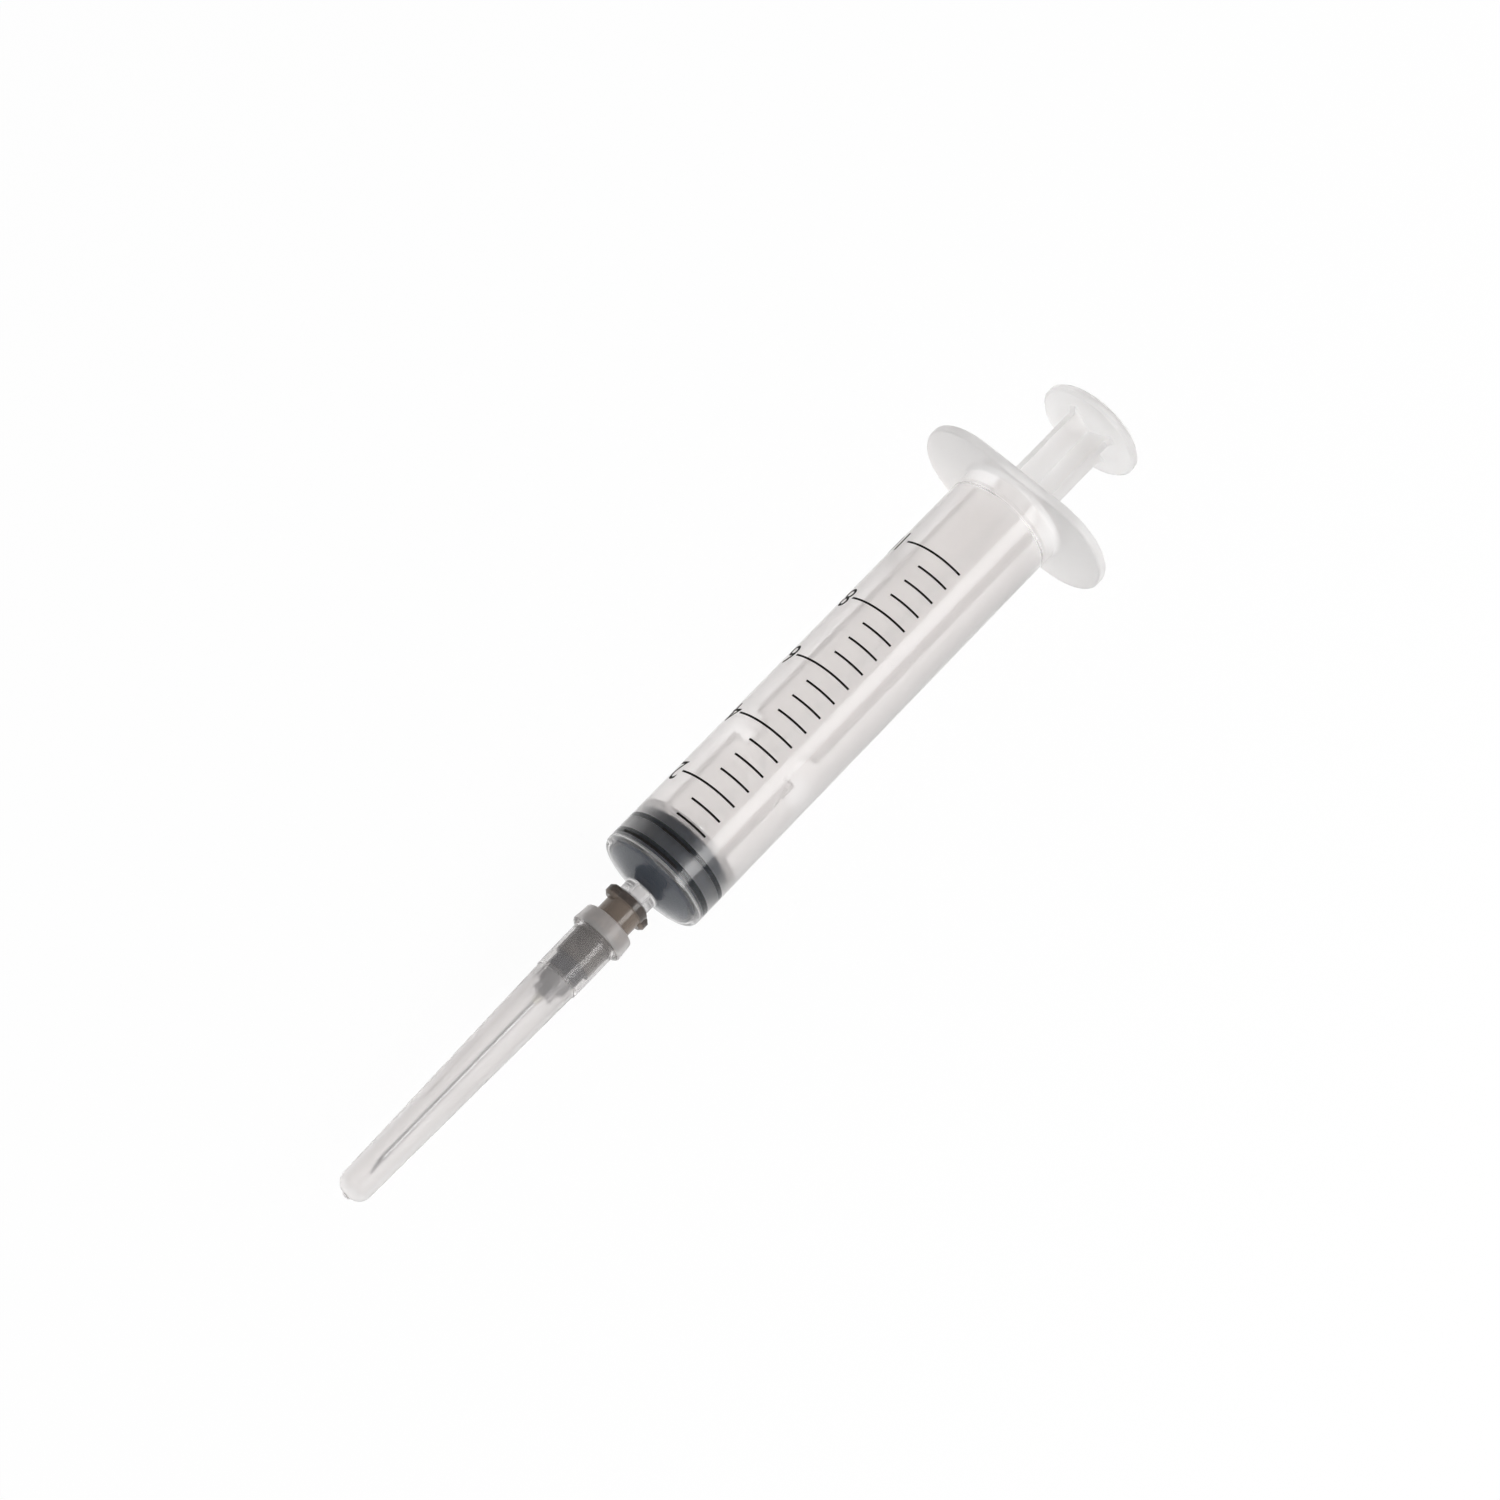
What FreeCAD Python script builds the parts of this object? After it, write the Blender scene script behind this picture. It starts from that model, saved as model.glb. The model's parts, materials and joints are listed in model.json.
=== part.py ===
"""A 10 ml three-part syringe with a Luer slip tip and a capped needle, lying as it comes to rest.

Each piece is drawn along its own X axis from its own end face, and then placed along the
syringe's axis, which is measured from the open end of the nozzle towards the thumb disc.
"""
import FreeCAD, Part

import math
import os
from typing import NamedTuple

import Sketcher
from FreeCAD import Placement, Rotation, Vector

NODES = ("barrel", "stopper", "plunger_rod", "needle_hub", "cannula", "adhesive_bead", "needle_cap")

# Driving dimensions in millimetres and degrees
SIZES = (
    # Barrel
    ("nozzle_end_radius", 1.965, "Luer male cone at its open end"),
    ("luer_taper", 0.03, "rise of the Luer cone's radius per length, both halves"),
    ("nozzle_length", 7.8, "nozzle from its end to the foot of the front cone"),
    ("nozzle_bore_radius", 1.0, "channel through the nozzle"),
    ("nozzle_rim_bevel", 0.15, "bevel of the nozzle's rim"),
    ("root_collar_radius", 2.52, "thicker root of the nozzle behind the hub's mouth"),
    ("root_collar_gap", 0.25, "hub's mouth to the nozzle's root"),
    ("nozzle_root_bevel", 0.35, "bevel where the nozzle meets the front cone"),
    ("bore_radius", 7.4, "bore of the barrel"),
    ("barrel_wall", 0.9, "wall of the barrel's tube"),
    ("front_angle", 15.6, "slope of the front cone from the cross plane"),
    ("front_wall", 1.3, "front wall along the axis"),
    ("shoulder_bevel", 0.6, "bevel of the barrel's front shoulder"),
    ("front_corner_bevel", 0.35, "bevel inside the front corner"),
    ("barrel_length", 78.9, "barrel from the foot of the front cone to its open end"),
    ("flange_thickness", 1.5, "finger flange"),
    ("flange_half_length", 15.9, "finger flange across the wings, half"),
    ("flange_half_width", 9.5, "finger flange across its flats, half"),
    ("flange_tip_flat", 0.4, "half of the short straight at each wing's tip"),
    ("flange_edge_bevel", 0.35, "bevel of the flange's edges"),
    ("flange_root_bevel", 0.8, "thickening of the tube where it meets the flange"),
    ("ring_inset", 3.8, "stop ring's back edge from the barrel's open end"),
    ("ring_width", 0.9, "stop ring at its foot"),
    ("ring_height", 0.3, "stop ring above the bore"),
    ("mouth_bevel", 0.45, "bevel at the barrel's open end"),
    # Stopper
    ("stopper_squeeze_gap", 0.05, "sealing rib to bore, a sliding fit"),
    ("nose_gap", 0.3, "stopper's nose to the barrel's front wall, along the axis"),
    ("zero_line_inset", 0.62, "first rib's front edge behind the bore's front corner"),
    ("nose_tip_radius", 1.5, "flat tip of the stopper's nose"),
    ("nose_base_step", 0.7, "first rib above the foot of the nose"),
    ("first_rib_width", 1.05, "front sealing rib"),
    ("rib_pitch", 3.05, "front edge of one sealing rib to the next"),
    ("second_rib_width", 0.85, "rear sealing rib"),
    ("rib_slope", 0.2, "length over which each side of a sealing rib slopes"),
    ("nose_bevel", 0.3, "bevel round the foot of the nose"),
    ("waist_depth", 0.75, "recess between the sealing ribs"),
    ("skirt_step", 0.95, "sealing rib above the stopper's skirt"),
    ("stopper_length", 7.75, "stopper from its nose to its back face"),
    ("stopper_lip", 1.3, "lip that holds the rod's head"),
    # Plunger rod
    ("head_radius", 3.0, "mushroom head"),
    ("head_length", 2.4, "mushroom head"),
    ("head_bevel", 0.6, "bevel round the head's front"),
    ("neck_radius", 2.0, "neck behind the head"),
    ("head_clearance", 0.06, "head and neck in the stopper's pocket"),
    ("plate_clearance", 0.15, "support plate to the bore"),
    ("plate_thickness", 0.7, "support plate behind the stopper"),
    ("rib_radius", 6.83, "cross ribs inside the barrel"),
    ("stem_radius", 4.56, "cross ribs at the thumb end"),
    ("cross_rib_thickness", 1.1, "each cross rib"),
    ("wide_rib_length", 64.2, "cross ribs at their full width"),
    ("rib_end_slope", 1.6, "length over which the ribs narrow"),
    ("rod_length", 84.2, "support plate to the thumb disc"),
    ("notch_start", 14.1, "support plate to the break notch"),
    ("notch_length", 4.6, "break notch along the rod"),
    ("notch_depth", 2.9, "break notch into each rib"),
    ("notch_round", 1.5, "rounding at the notch's floor"),
    ("thumb_disc_radius", 8.2, "thumb disc"),
    ("thumb_disc_thickness", 1.5, "thumb disc"),
    ("thumb_disc_bevel", 0.4, "bevel of the thumb disc's edge"),
    ("thumb_groove_radius", 5.6, "grip groove in the thumb disc's back"),
    ("thumb_groove_width", 0.8, "grip groove across"),
    ("thumb_groove_depth", 0.3, "grip groove into the disc"),
    ("stem_foot_round", 0.8, "cross ribs where they meet the thumb disc"),
    ("rod_roll", 52.5, "turn of the cross ribs about the axis"),
    # Needle hub
    ("hub_mouth_radius", 2.155, "Luer female cone at its mouth"),
    ("luer_clearance", 0.02, "nozzle in the hub's cone"),
    ("hub_length", 17.8, "hub from its nose to its mouth"),
    ("socket_depth", 8.7, "Luer cone inside the hub"),
    ("funnel_length", 1.6, "funnel from the socket to the tube's seat"),
    ("hub_mouth_outer_radius", 2.78, "hub at its mouth"),
    ("hub_mouth_part_length", 6.2, "stretch of the hub outside the cap's seat"),
    ("hub_seat_radius", 2.54, "stretch of the hub that the cap grips"),
    ("hub_seat_length", 5.6, "stretch of the hub that the cap grips"),
    ("hub_step_radius", 2.24, "step in front of the cap's seat"),
    ("hub_step_length", 2.3, "step in front of the cap's seat"),
    ("hub_shoulder_radius", 2.1, "front shoulder of the hub"),
    ("hub_shoulder_length", 2.1, "front shoulder of the hub"),
    ("hub_shoulder_bevel", 0.4, "bevel of the front shoulder"),
    ("hub_nose_radius", 0.8, "nose round the steel tube"),
    ("hub_edge_bevel", 0.1, "bevel of the hub's steps and rim"),
    ("hub_rim_radius", 2.96, "rim at the hub's mouth"),
    ("hub_rim_length", 1.35, "rim at the hub's mouth"),
    ("lug_outer_radius", 3.86, "across the two lugs, half"),
    ("lug_length", 1.75, "lugs along the axis"),
    ("lug_nose_radius", 1.45, "rounded outline of each lug"),
    ("lug_bevel", 0.4, "bevel of the lugs' outer edges"),
    ("seat_fin_height", 0.14, "fins on the cap's seat"),
    ("seat_fin_half_thickness", 0.35, "fins on the cap's seat, half"),
    ("seat_fin_point", 1.3, "tapered end of each fin"),
    ("nose_fin_radius", 1.44, "fins on the nose"),
    ("nose_fin_half_thickness", 0.22, "fins on the nose, half"),
    ("hub_roll", 36.0, "turn of the hub's fins about the axis"),
    # Needle tube and its glue
    ("tube_outer_radius", 0.36, "22 gauge tube"),
    ("tube_inner_radius", 0.205, "22 gauge tube"),
    ("tube_reach", 32.8, "tube in front of the hub's nose"),
    ("point_angle", 12.0, "bevel of the point"),
    ("point_roll", 58.0, "turn of the point's bevel about the axis"),
    ("tube_seat_clearance", 0.01, "tube in its seat and in the glue"),
    ("glue_well_radius", 0.6, "well for the glue in the nose"),
    ("glue_well_depth", 1.4, "well for the glue in the nose"),
    ("glue_reach", 1.5, "glue in front of the nose"),
    ("glue_tip_radius", 0.45, "glue round the tube at its front"),
    # Needle cap
    ("cap_length", 50.5, "cap from its closed tip to its open end"),
    ("cap_overlap", 4.27, "cap's open end in front of the hub's mouth"),
    ("cap_tip_radius", 2.35, "cap at its tip"),
    ("cap_tip_round", 2.0, "rounding of the cap's tip"),
    ("cap_step_position", 39.9, "step in the cap from its tip"),
    ("cap_step_radius", 3.2, "cap just before the step"),
    ("cap_step_height", 0.13, "step in the cap"),
    ("cap_open_radius", 3.35, "cap where it meets the collar"),
    ("collar_length", 2.7, "collar at the cap's open end"),
    ("collar_slope", 0.6, "length over which the collar's front rises"),
    ("collar_front_radius", 4.12, "collar towards the needle"),
    ("collar_back_radius", 3.9, "collar at the open end"),
    ("collar_bevel", 0.25, "bevel of the collar"),
    ("cap_tip_wall", 1.2, "closed end of the cap"),
    ("cap_inner_tip_radius", 1.55, "inside of the cap near its tip"),
    ("cap_inner_bevel", 0.7, "bevel inside the cap's tip"),
    ("cap_inner_rib_radius", 1.93, "inside of the cap where its inner ribs start"),
    ("cap_wall", 0.7, "wall of the cap at the step"),
    ("cap_seat_clearance", 0.06, "cap's seat on the hub's fins"),
    ("cap_seat_gap", 0.5, "cap's seat ahead of the hub's seat"),
    ("cap_mouth_clearance", 0.13, "cap's mouth round the hub"),
    ("cap_rib_start", 16.6, "inner ribs from the cap's tip"),
    ("cap_rib_height", 0.16, "inner ribs"),
    ("cap_rib_thickness", 0.3, "inner ribs"),
    ("gate_radius", 0.6, "sprue mark on the cap's tip"),
    ("gate_height", 0.25, "sprue mark on the cap's tip"),
)

COUNTS = {"cross_ribs": 4, "seat_fins": 4, "nose_fins": 4, "cap_ribs": 8}

# What follows from the driving dimensions, each one an expression of the document
PLACES = (
    ("front_rise", "tan(sizes.front_angle * 1 deg)"),
    ("outer_radius", "sizes.bore_radius + sizes.barrel_wall"),
    ("luer_engagement", "(sizes.hub_mouth_radius - sizes.luer_clearance - sizes.nozzle_end_radius)"
                        " / sizes.luer_taper"),
    ("root_collar_x", "luer_engagement + sizes.root_collar_gap"),
    ("luer_root_radius", "sizes.nozzle_end_radius + sizes.luer_taper * root_collar_x"),
    ("shoulder_x", "sizes.nozzle_length + (outer_radius - sizes.root_collar_radius) * front_rise"),
    ("inner_front_x", "sizes.nozzle_length + sizes.front_wall"
                      " - (sizes.root_collar_radius - sizes.nozzle_bore_radius) * front_rise"),
    ("inner_corner_x", "inner_front_x + (sizes.bore_radius - sizes.nozzle_bore_radius) * front_rise"),
    ("barrel_end_x", "sizes.nozzle_length + sizes.barrel_length"),
    ("flange_front_x", "barrel_end_x - sizes.flange_thickness"),
    ("ring_back_x", "barrel_end_x - sizes.ring_inset"),
    ("ring_front_x", "ring_back_x - sizes.ring_width"),
    ("ring_crest_x", "ring_back_x - sizes.ring_width / 2"),
    ("ring_radius", "sizes.bore_radius - sizes.ring_height"),
    ("mouth_bevel_x", "barrel_end_x - sizes.mouth_bevel"),
    ("mouth_radius", "sizes.bore_radius + sizes.mouth_bevel"),
    ("flange_corner_round", "sizes.flange_half_width - sizes.flange_tip_flat"),
    # Stopper, from its nose
    ("rib_top_radius", "sizes.bore_radius - sizes.stopper_squeeze_gap"),
    ("nose_base_radius", "rib_top_radius - sizes.nose_base_step"),
    ("stopper_at", "inner_front_x + (sizes.nose_tip_radius - sizes.nozzle_bore_radius) * front_rise"
                   " + sizes.nose_gap"),
    ("nose_length", "(nose_base_radius - sizes.nose_tip_radius) * front_rise"),
    ("zero_line_x", "inner_corner_x + sizes.zero_line_inset"),
    ("first_rib_x", "zero_line_x - stopper_at"),
    ("first_rib_back_x", "first_rib_x + sizes.first_rib_width"),
    ("second_rib_x", "first_rib_x + sizes.rib_pitch"),
    ("second_rib_back_x", "second_rib_x + sizes.second_rib_width"),
    ("first_crest_x", "first_rib_x + sizes.rib_slope"),
    ("first_crest_back_x", "first_rib_back_x - sizes.rib_slope"),
    ("second_crest_x", "second_rib_x + sizes.rib_slope"),
    ("second_crest_back_x", "second_rib_back_x - sizes.rib_slope"),
    ("waist_radius", "rib_top_radius - sizes.waist_depth"),
    ("skirt_radius", "rib_top_radius - sizes.skirt_step"),
    ("pocket_radius", "sizes.head_radius + sizes.head_clearance"),
    ("lip_radius", "sizes.neck_radius + sizes.head_clearance"),
    ("lip_front_x", "sizes.stopper_length - sizes.stopper_lip"),
    ("pocket_front_x", "lip_front_x - sizes.head_length - 2 * sizes.head_clearance"),
    # Plunger rod, from its head
    ("rod_at", "stopper_at + pocket_front_x + sizes.head_clearance"),
    ("neck_end_x", "sizes.head_length + sizes.stopper_lip + 2 * sizes.head_clearance"),
    ("plate_radius", "sizes.bore_radius - sizes.plate_clearance"),
    ("plate_back_x", "neck_end_x + sizes.plate_thickness"),
    ("head_bevel_radius", "sizes.head_radius - sizes.head_bevel"),
    ("disc_front_x", "plate_back_x + sizes.rod_length"),
    ("disc_back_x", "disc_front_x + sizes.thumb_disc_thickness"),
    ("wide_rib_end_x", "plate_back_x + sizes.wide_rib_length"),
    ("stem_start_x", "wide_rib_end_x + sizes.rib_end_slope"),
    ("stem_foot_x", "disc_front_x - sizes.stem_foot_round"),
    ("stem_foot_radius", "sizes.stem_radius + sizes.stem_foot_round"),
    ("plate_middle_x", "neck_end_x + sizes.plate_thickness / 2"),
    ("disc_middle_x", "disc_front_x + sizes.thumb_disc_thickness / 2"),
    ("notch_front_x", "plate_back_x + sizes.notch_start"),
    ("notch_back_x", "notch_front_x + sizes.notch_length"),
    ("notch_floor_radius", "sizes.rib_radius - sizes.notch_depth"),
    ("groove_inner_radius", "sizes.thumb_groove_radius - sizes.thumb_groove_width / 2"),
    ("groove_outer_radius", "sizes.thumb_groove_radius + sizes.thumb_groove_width / 2"),
    ("groove_floor_x", "disc_back_x - sizes.thumb_groove_depth"),
    ("rod_travel", "ring_front_x - rod_at - plate_back_x"),
    # Needle hub, from its nose
    ("hub_at", "luer_engagement - sizes.hub_length"),
    ("socket_floor_x", "sizes.hub_length - sizes.socket_depth"),
    ("socket_floor_radius", "sizes.hub_mouth_radius - sizes.luer_taper * sizes.socket_depth"),
    ("funnel_radius", "socket_floor_radius - sizes.tube_outer_radius"),
    ("tube_seat_x", "socket_floor_x - sizes.funnel_length"),
    ("tube_seat_radius", "sizes.tube_outer_radius + sizes.tube_seat_clearance"),
    ("mouth_part_x", "sizes.hub_length - sizes.hub_mouth_part_length"),
    ("seat_x", "mouth_part_x - sizes.hub_seat_length"),
    ("step_x", "seat_x - sizes.hub_step_length"),
    ("hub_shoulder_x", "step_x - sizes.hub_shoulder_length"),
    ("rim_x", "sizes.hub_length - sizes.hub_rim_length"),
    ("lug_x", "sizes.hub_length - sizes.lug_length"),
    ("lug_centre", "sizes.lug_outer_radius - sizes.lug_nose_radius"),
    ("seat_fin_radius", "sizes.hub_seat_radius + sizes.seat_fin_height"),
    ("seat_fin_root_radius", "sizes.hub_seat_radius - 0.5 * (sizes.hub_seat_radius"
                             " - sizes.hub_mouth_radius)"),
    ("seat_fin_point_x", "mouth_part_x - sizes.seat_fin_point"),
    ("nose_fin_root_radius", "(sizes.hub_nose_radius + sizes.glue_well_radius) / 2"),
    ("nose_fin_end_x", "hub_shoulder_x + sizes.hub_shoulder_bevel"),
    ("lug_root_radius", "(sizes.hub_mouth_outer_radius + sizes.hub_mouth_radius) / 2"),
    # Needle tube, from its point, and the glue, from its front
    ("tube_at", "hub_at - sizes.tube_reach"),
    ("tube_length", "sizes.tube_reach + tube_seat_x"),
    ("bevel_length", "2 * sizes.tube_outer_radius / tan(sizes.point_angle * 1 deg)"),
    ("bevel_front_x", "-bevel_length"),
    ("bevel_back_x", "2 * bevel_length"),
    ("bevel_reach", "3 * sizes.tube_outer_radius"),
    ("glue_at", "hub_at - sizes.glue_reach"),
    ("glue_back_radius", "sizes.glue_well_radius - sizes.tube_seat_clearance"),
    ("glue_back_x", "sizes.glue_reach + sizes.glue_well_depth - sizes.tube_seat_clearance"),
    # Needle cap, from its closed tip
    ("cap_at", "luer_engagement - sizes.cap_overlap - sizes.cap_length"),
    ("cap_step_outer_radius", "sizes.cap_step_radius + sizes.cap_step_height"),
    ("collar_x", "sizes.cap_length - sizes.collar_length"),
    ("collar_foot_x", "collar_x - sizes.collar_slope"),
    ("hub_in_cap", "hub_at - cap_at"),
    ("cap_seat_radius", "seat_fin_radius + sizes.cap_seat_clearance"),
    ("cap_seat_x", "hub_in_cap + seat_x - sizes.cap_seat_gap"),
    ("cap_mouth_x", "hub_in_cap + mouth_part_x - sizes.cap_seat_gap"),
    ("cap_mouth_radius", "sizes.hub_mouth_outer_radius + sizes.cap_mouth_clearance"),
    ("cap_inner_radius", "sizes.cap_step_radius - sizes.cap_wall"),
    ("cap_rib_front_radius", "sizes.cap_inner_rib_radius - sizes.cap_rib_height"),
    ("cap_rib_back_radius", "cap_inner_radius - sizes.cap_rib_height"),
    ("cap_rib_front_root", "sizes.cap_inner_rib_radius + sizes.cap_wall / 2"),
    ("cap_rib_back_root", "cap_inner_radius + sizes.cap_wall / 2"),
    # Rest on the flange's flat and the barrel's shoulder
    ("shoulder_foot_x", "shoulder_x + sizes.shoulder_bevel"),
    ("flange_foot_x", "flange_front_x + sizes.flange_edge_bevel"),
    ("rest_tilt", "atan((sizes.flange_half_width - outer_radius)"
                  " / (flange_foot_x - shoulder_foot_x)) / 1 deg"),
)

# Places nearer than this are the same place
TOUCHING = 1e-6


class Model:
    """The document with its sheet of sizes, its derived places and its pieces."""

    def __init__(self):
        self.document = FreeCAD.newDocument("syringe")
        self.sheet = self.document.addObject("Spreadsheet::Sheet", "sizes")
        for row, (alias, number, meaning) in enumerate(SIZES, start=1):
            self.sheet.set(f"A{row}", str(number))
            self.sheet.setAlias(f"A{row}", alias)
            self.sheet.set(f"B{row}", meaning)
        self.document.recompute()
        self.places = self.document.addObject("App::VarSet", "places")
        for name, expression in PLACES:
            self.places.addProperty("App::PropertyFloat", name, "Places", expression)
            self.places.setExpression(name, expression)
        self.document.recompute()
        self.sized = {alias for alias, _, _ in SIZES}
        self.bodies = {}

    def bound(self, name):
        """Expression that a feature is bound to, for a size's or place's name with its sign."""
        sign, plain = ("-", name[1:]) if name.startswith("-") else ("", name)
        owner = "sizes" if plain in self.sized else "places"
        return f"{sign}{owner}.{plain}"

    def value(self, name):
        """Number behind a size's or place's name, 0 for the axis."""
        if name == "0":
            return 0.0
        sign, plain = (-1, name[1:]) if name.startswith("-") else (1, name)
        owner = self.sheet if plain in self.sized else self.places
        return sign * float(getattr(owner, plain))

    def body(self, label):
        """Empty body with its label."""
        body = self.document.addObject("PartDesign::Body", label)
        body.Label = label
        self.bodies[label] = body
        return body

    def sketch(self, body, name, plane, offset=None):
        """Sketch on one of the body's own origin planes, or at an offset from it."""
        sketch = body.newObject("Sketcher::SketchObject", name)
        sketch.AttachmentSupport = (origin_feature(body, plane), [""])
        sketch.MapMode = "FlatFace"
        if offset:
            sketch.setExpression("AttachmentOffset.Base.z", self.bound(offset))
        return sketch

    def hold(self, sketch, geometry, point, x_name, y_name):
        """Tie a point of the sketch to its two coordinates."""
        for kind, axis, name in (("DistanceX", -2, x_name), ("DistanceY", -1, y_name)):
            if name == "0":
                sketch.addConstraint(Sketcher.Constraint("PointOnObject", geometry, point, axis))
            else:
                self.drive(sketch, kind, name, -1, 1, geometry, point)

    def drive(self, sketch, kind, name, *where):
        """Dimension bound to a size or place."""
        index = sketch.addConstraint(Sketcher.Constraint(kind, *where, self.value(name)))
        sketch.setExpression(f"Constraints[{index}]", self.bound(name))

    def outline(self, body, name, corners, plane="XY_Plane", offset=None):
        """Closed outline of straight sides from corners, plain (x, y), rounded or bevelled."""
        sketch = self.sketch(body, name, plane, offset)
        corners = [corner if isinstance(corner, Corner) else Corner(*corner) for corner in corners]
        spots = [Vector(self.value(c.x), self.value(c.y), 0) for c in corners]
        cuts = []
        for i, corner in enumerate(corners):
            measure = corner_arc if corner.arc else corner_bevel
            cuts.append(measure(spots[i - 1], spots[i], spots[(i + 1) % len(spots)],
                                self.value(corner.size)))
        for i, cut in enumerate(cuts):
            sketch.addGeometry(Part.LineSegment(cut[1], cuts[(i + 1) % len(cuts)][0]), False)
        for i, corner in enumerate(corners):
            before = (i - 1) % len(corners)
            if corner.size == "0":
                sketch.addConstraint(Sketcher.Constraint("Coincident", before, 2, i, 1))
                self.hold(sketch, i, 1, corner.x, corner.y)
                continue
            point = sketch.addGeometry(Part.Point(spots[i]), True)
            sketch.addConstraint(Sketcher.Constraint("PointOnObject", point, 1, before))
            sketch.addConstraint(Sketcher.Constraint("PointOnObject", point, 1, i))
            self.hold(sketch, point, 1, corner.x, corner.y)
            if corner.arc:
                self.round_corner(sketch, before, i, cuts[i], corner)
            else:
                self.bevel_corner(sketch, before, i, cuts[i], corner, point)
        return sketch

    def round_corner(self, sketch, before, after, cut, corner):
        """Arc tangent to two sides."""
        start, end, centre, left_turn = cut
        first, last = (start, end) if left_turn else (end, start)
        angles = [math.atan2(p.y - centre.y, p.x - centre.x) for p in (first, last)]
        circle = Part.Circle(centre, Vector(0, 0, 1), self.value(corner.size))
        arc = sketch.addGeometry(Part.ArcOfCircle(circle, *angles), False)
        into, out = (1, 2) if left_turn else (2, 1)
        sketch.addConstraint(Sketcher.Constraint("Tangent", before, 2, arc, into))
        sketch.addConstraint(Sketcher.Constraint("Tangent", arc, out, after, 1))
        self.drive(sketch, "Radius", corner.size, arc)

    def bevel_corner(self, sketch, before, after, cut, corner, point):
        """Straight side across a corner, the same distance from it on both its sides."""
        side = sketch.addGeometry(Part.LineSegment(cut[0], cut[1]), False)
        sketch.addConstraint(Sketcher.Constraint("Coincident", before, 2, side, 1))
        sketch.addConstraint(Sketcher.Constraint("Coincident", side, 2, after, 1))
        self.drive(sketch, "Distance", corner.size, point, 1, side, 1)
        self.drive(sketch, "Distance", corner.size, point, 1, side, 2)

    def turned(self, body, name, corners):
        """Solid of revolution about the body's axis from an outline of (x, radius)."""
        sketch = self.outline(body, f"{name}_section", corners)
        feature = body.newObject("PartDesign::Revolution", name)
        feature.Profile = sketch
        feature.ReferenceAxis = (sketch, ["H_Axis"])
        feature.Angle = 360
        return feature

    def web(self, body, name, corners, thickness, count):
        """Flat web along the axis, repeated round it."""
        sketch = self.outline(body, f"{name}_outline", corners)
        pad = body.newObject("PartDesign::Pad", name)
        pad.Profile = sketch
        pad.SideType = "Symmetric"
        pad.setExpression("Length", thickness)
        return self.ring(body, pad, count)

    def ring(self, body, feature, count):
        """Copies of a feature round the body's axis."""
        self.document.recompute()
        pattern = body.newObject("PartDesign::PolarPattern", f"{feature.Name}_ring")
        pattern.Originals = [feature]
        pattern.Axis = (origin_feature(body, "X_Axis"), [""])
        pattern.Angle = 360
        pattern.Occurrences = count
        body.Tip = pattern
        return pattern

    def chamfer(self, body, name, size, chosen):
        """Chamfer on the edges of the body's tip that the test picks."""
        self.document.recompute()
        base = body.Tip
        edges = [f"Edge{i}" for i, edge in enumerate(base.Shape.Edges, start=1) if chosen(edge)]
        if not edges:
            raise RuntimeError(f"{name}: no edge to bevel")
        feature = body.newObject("PartDesign::Chamfer", name)
        feature.Base = (base, edges)
        feature.setExpression("Size", self.bound(size))
        body.Tip = feature


def origin_feature(body, role):
    """Origin plane or axis of a body by its role."""
    return next(f for f in body.Origin.OriginFeatures if f.Role == role)


class Corner(NamedTuple):
    """Corner of an outline at two named coordinates, with the name of what is cut off it."""

    x: str
    y: str
    size: str = "0"
    arc: bool = False


def rounded(x, y, radius):
    """Corner rounded by an arc."""
    return Corner(x, y, radius, True)


def bevelled(x, y, size):
    """Corner cut off straight."""
    return Corner(x, y, size, False)


def corner_bevel(previous, corner, following, size):
    """Where a straight cut leaves and joins the sides at a corner."""
    back = (previous - corner).normalize()
    ahead = (following - corner).normalize()
    return corner + back * size, corner + ahead * size


def corner_arc(previous, corner, following, radius):
    """Where an arc of the radius leaves and joins the sides at a corner, its centre and its turn."""
    back = (previous - corner).normalize()
    ahead = (following - corner).normalize()
    half = back.getAngle(ahead) / 2
    start = corner + back * (radius / math.tan(half))
    end = corner + ahead * (radius / math.tan(half))
    middle = (back + ahead).normalize()
    centre = corner + middle * (radius / math.sin(half))
    return start, end, centre, (back.cross(ahead)).z < 0


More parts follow.
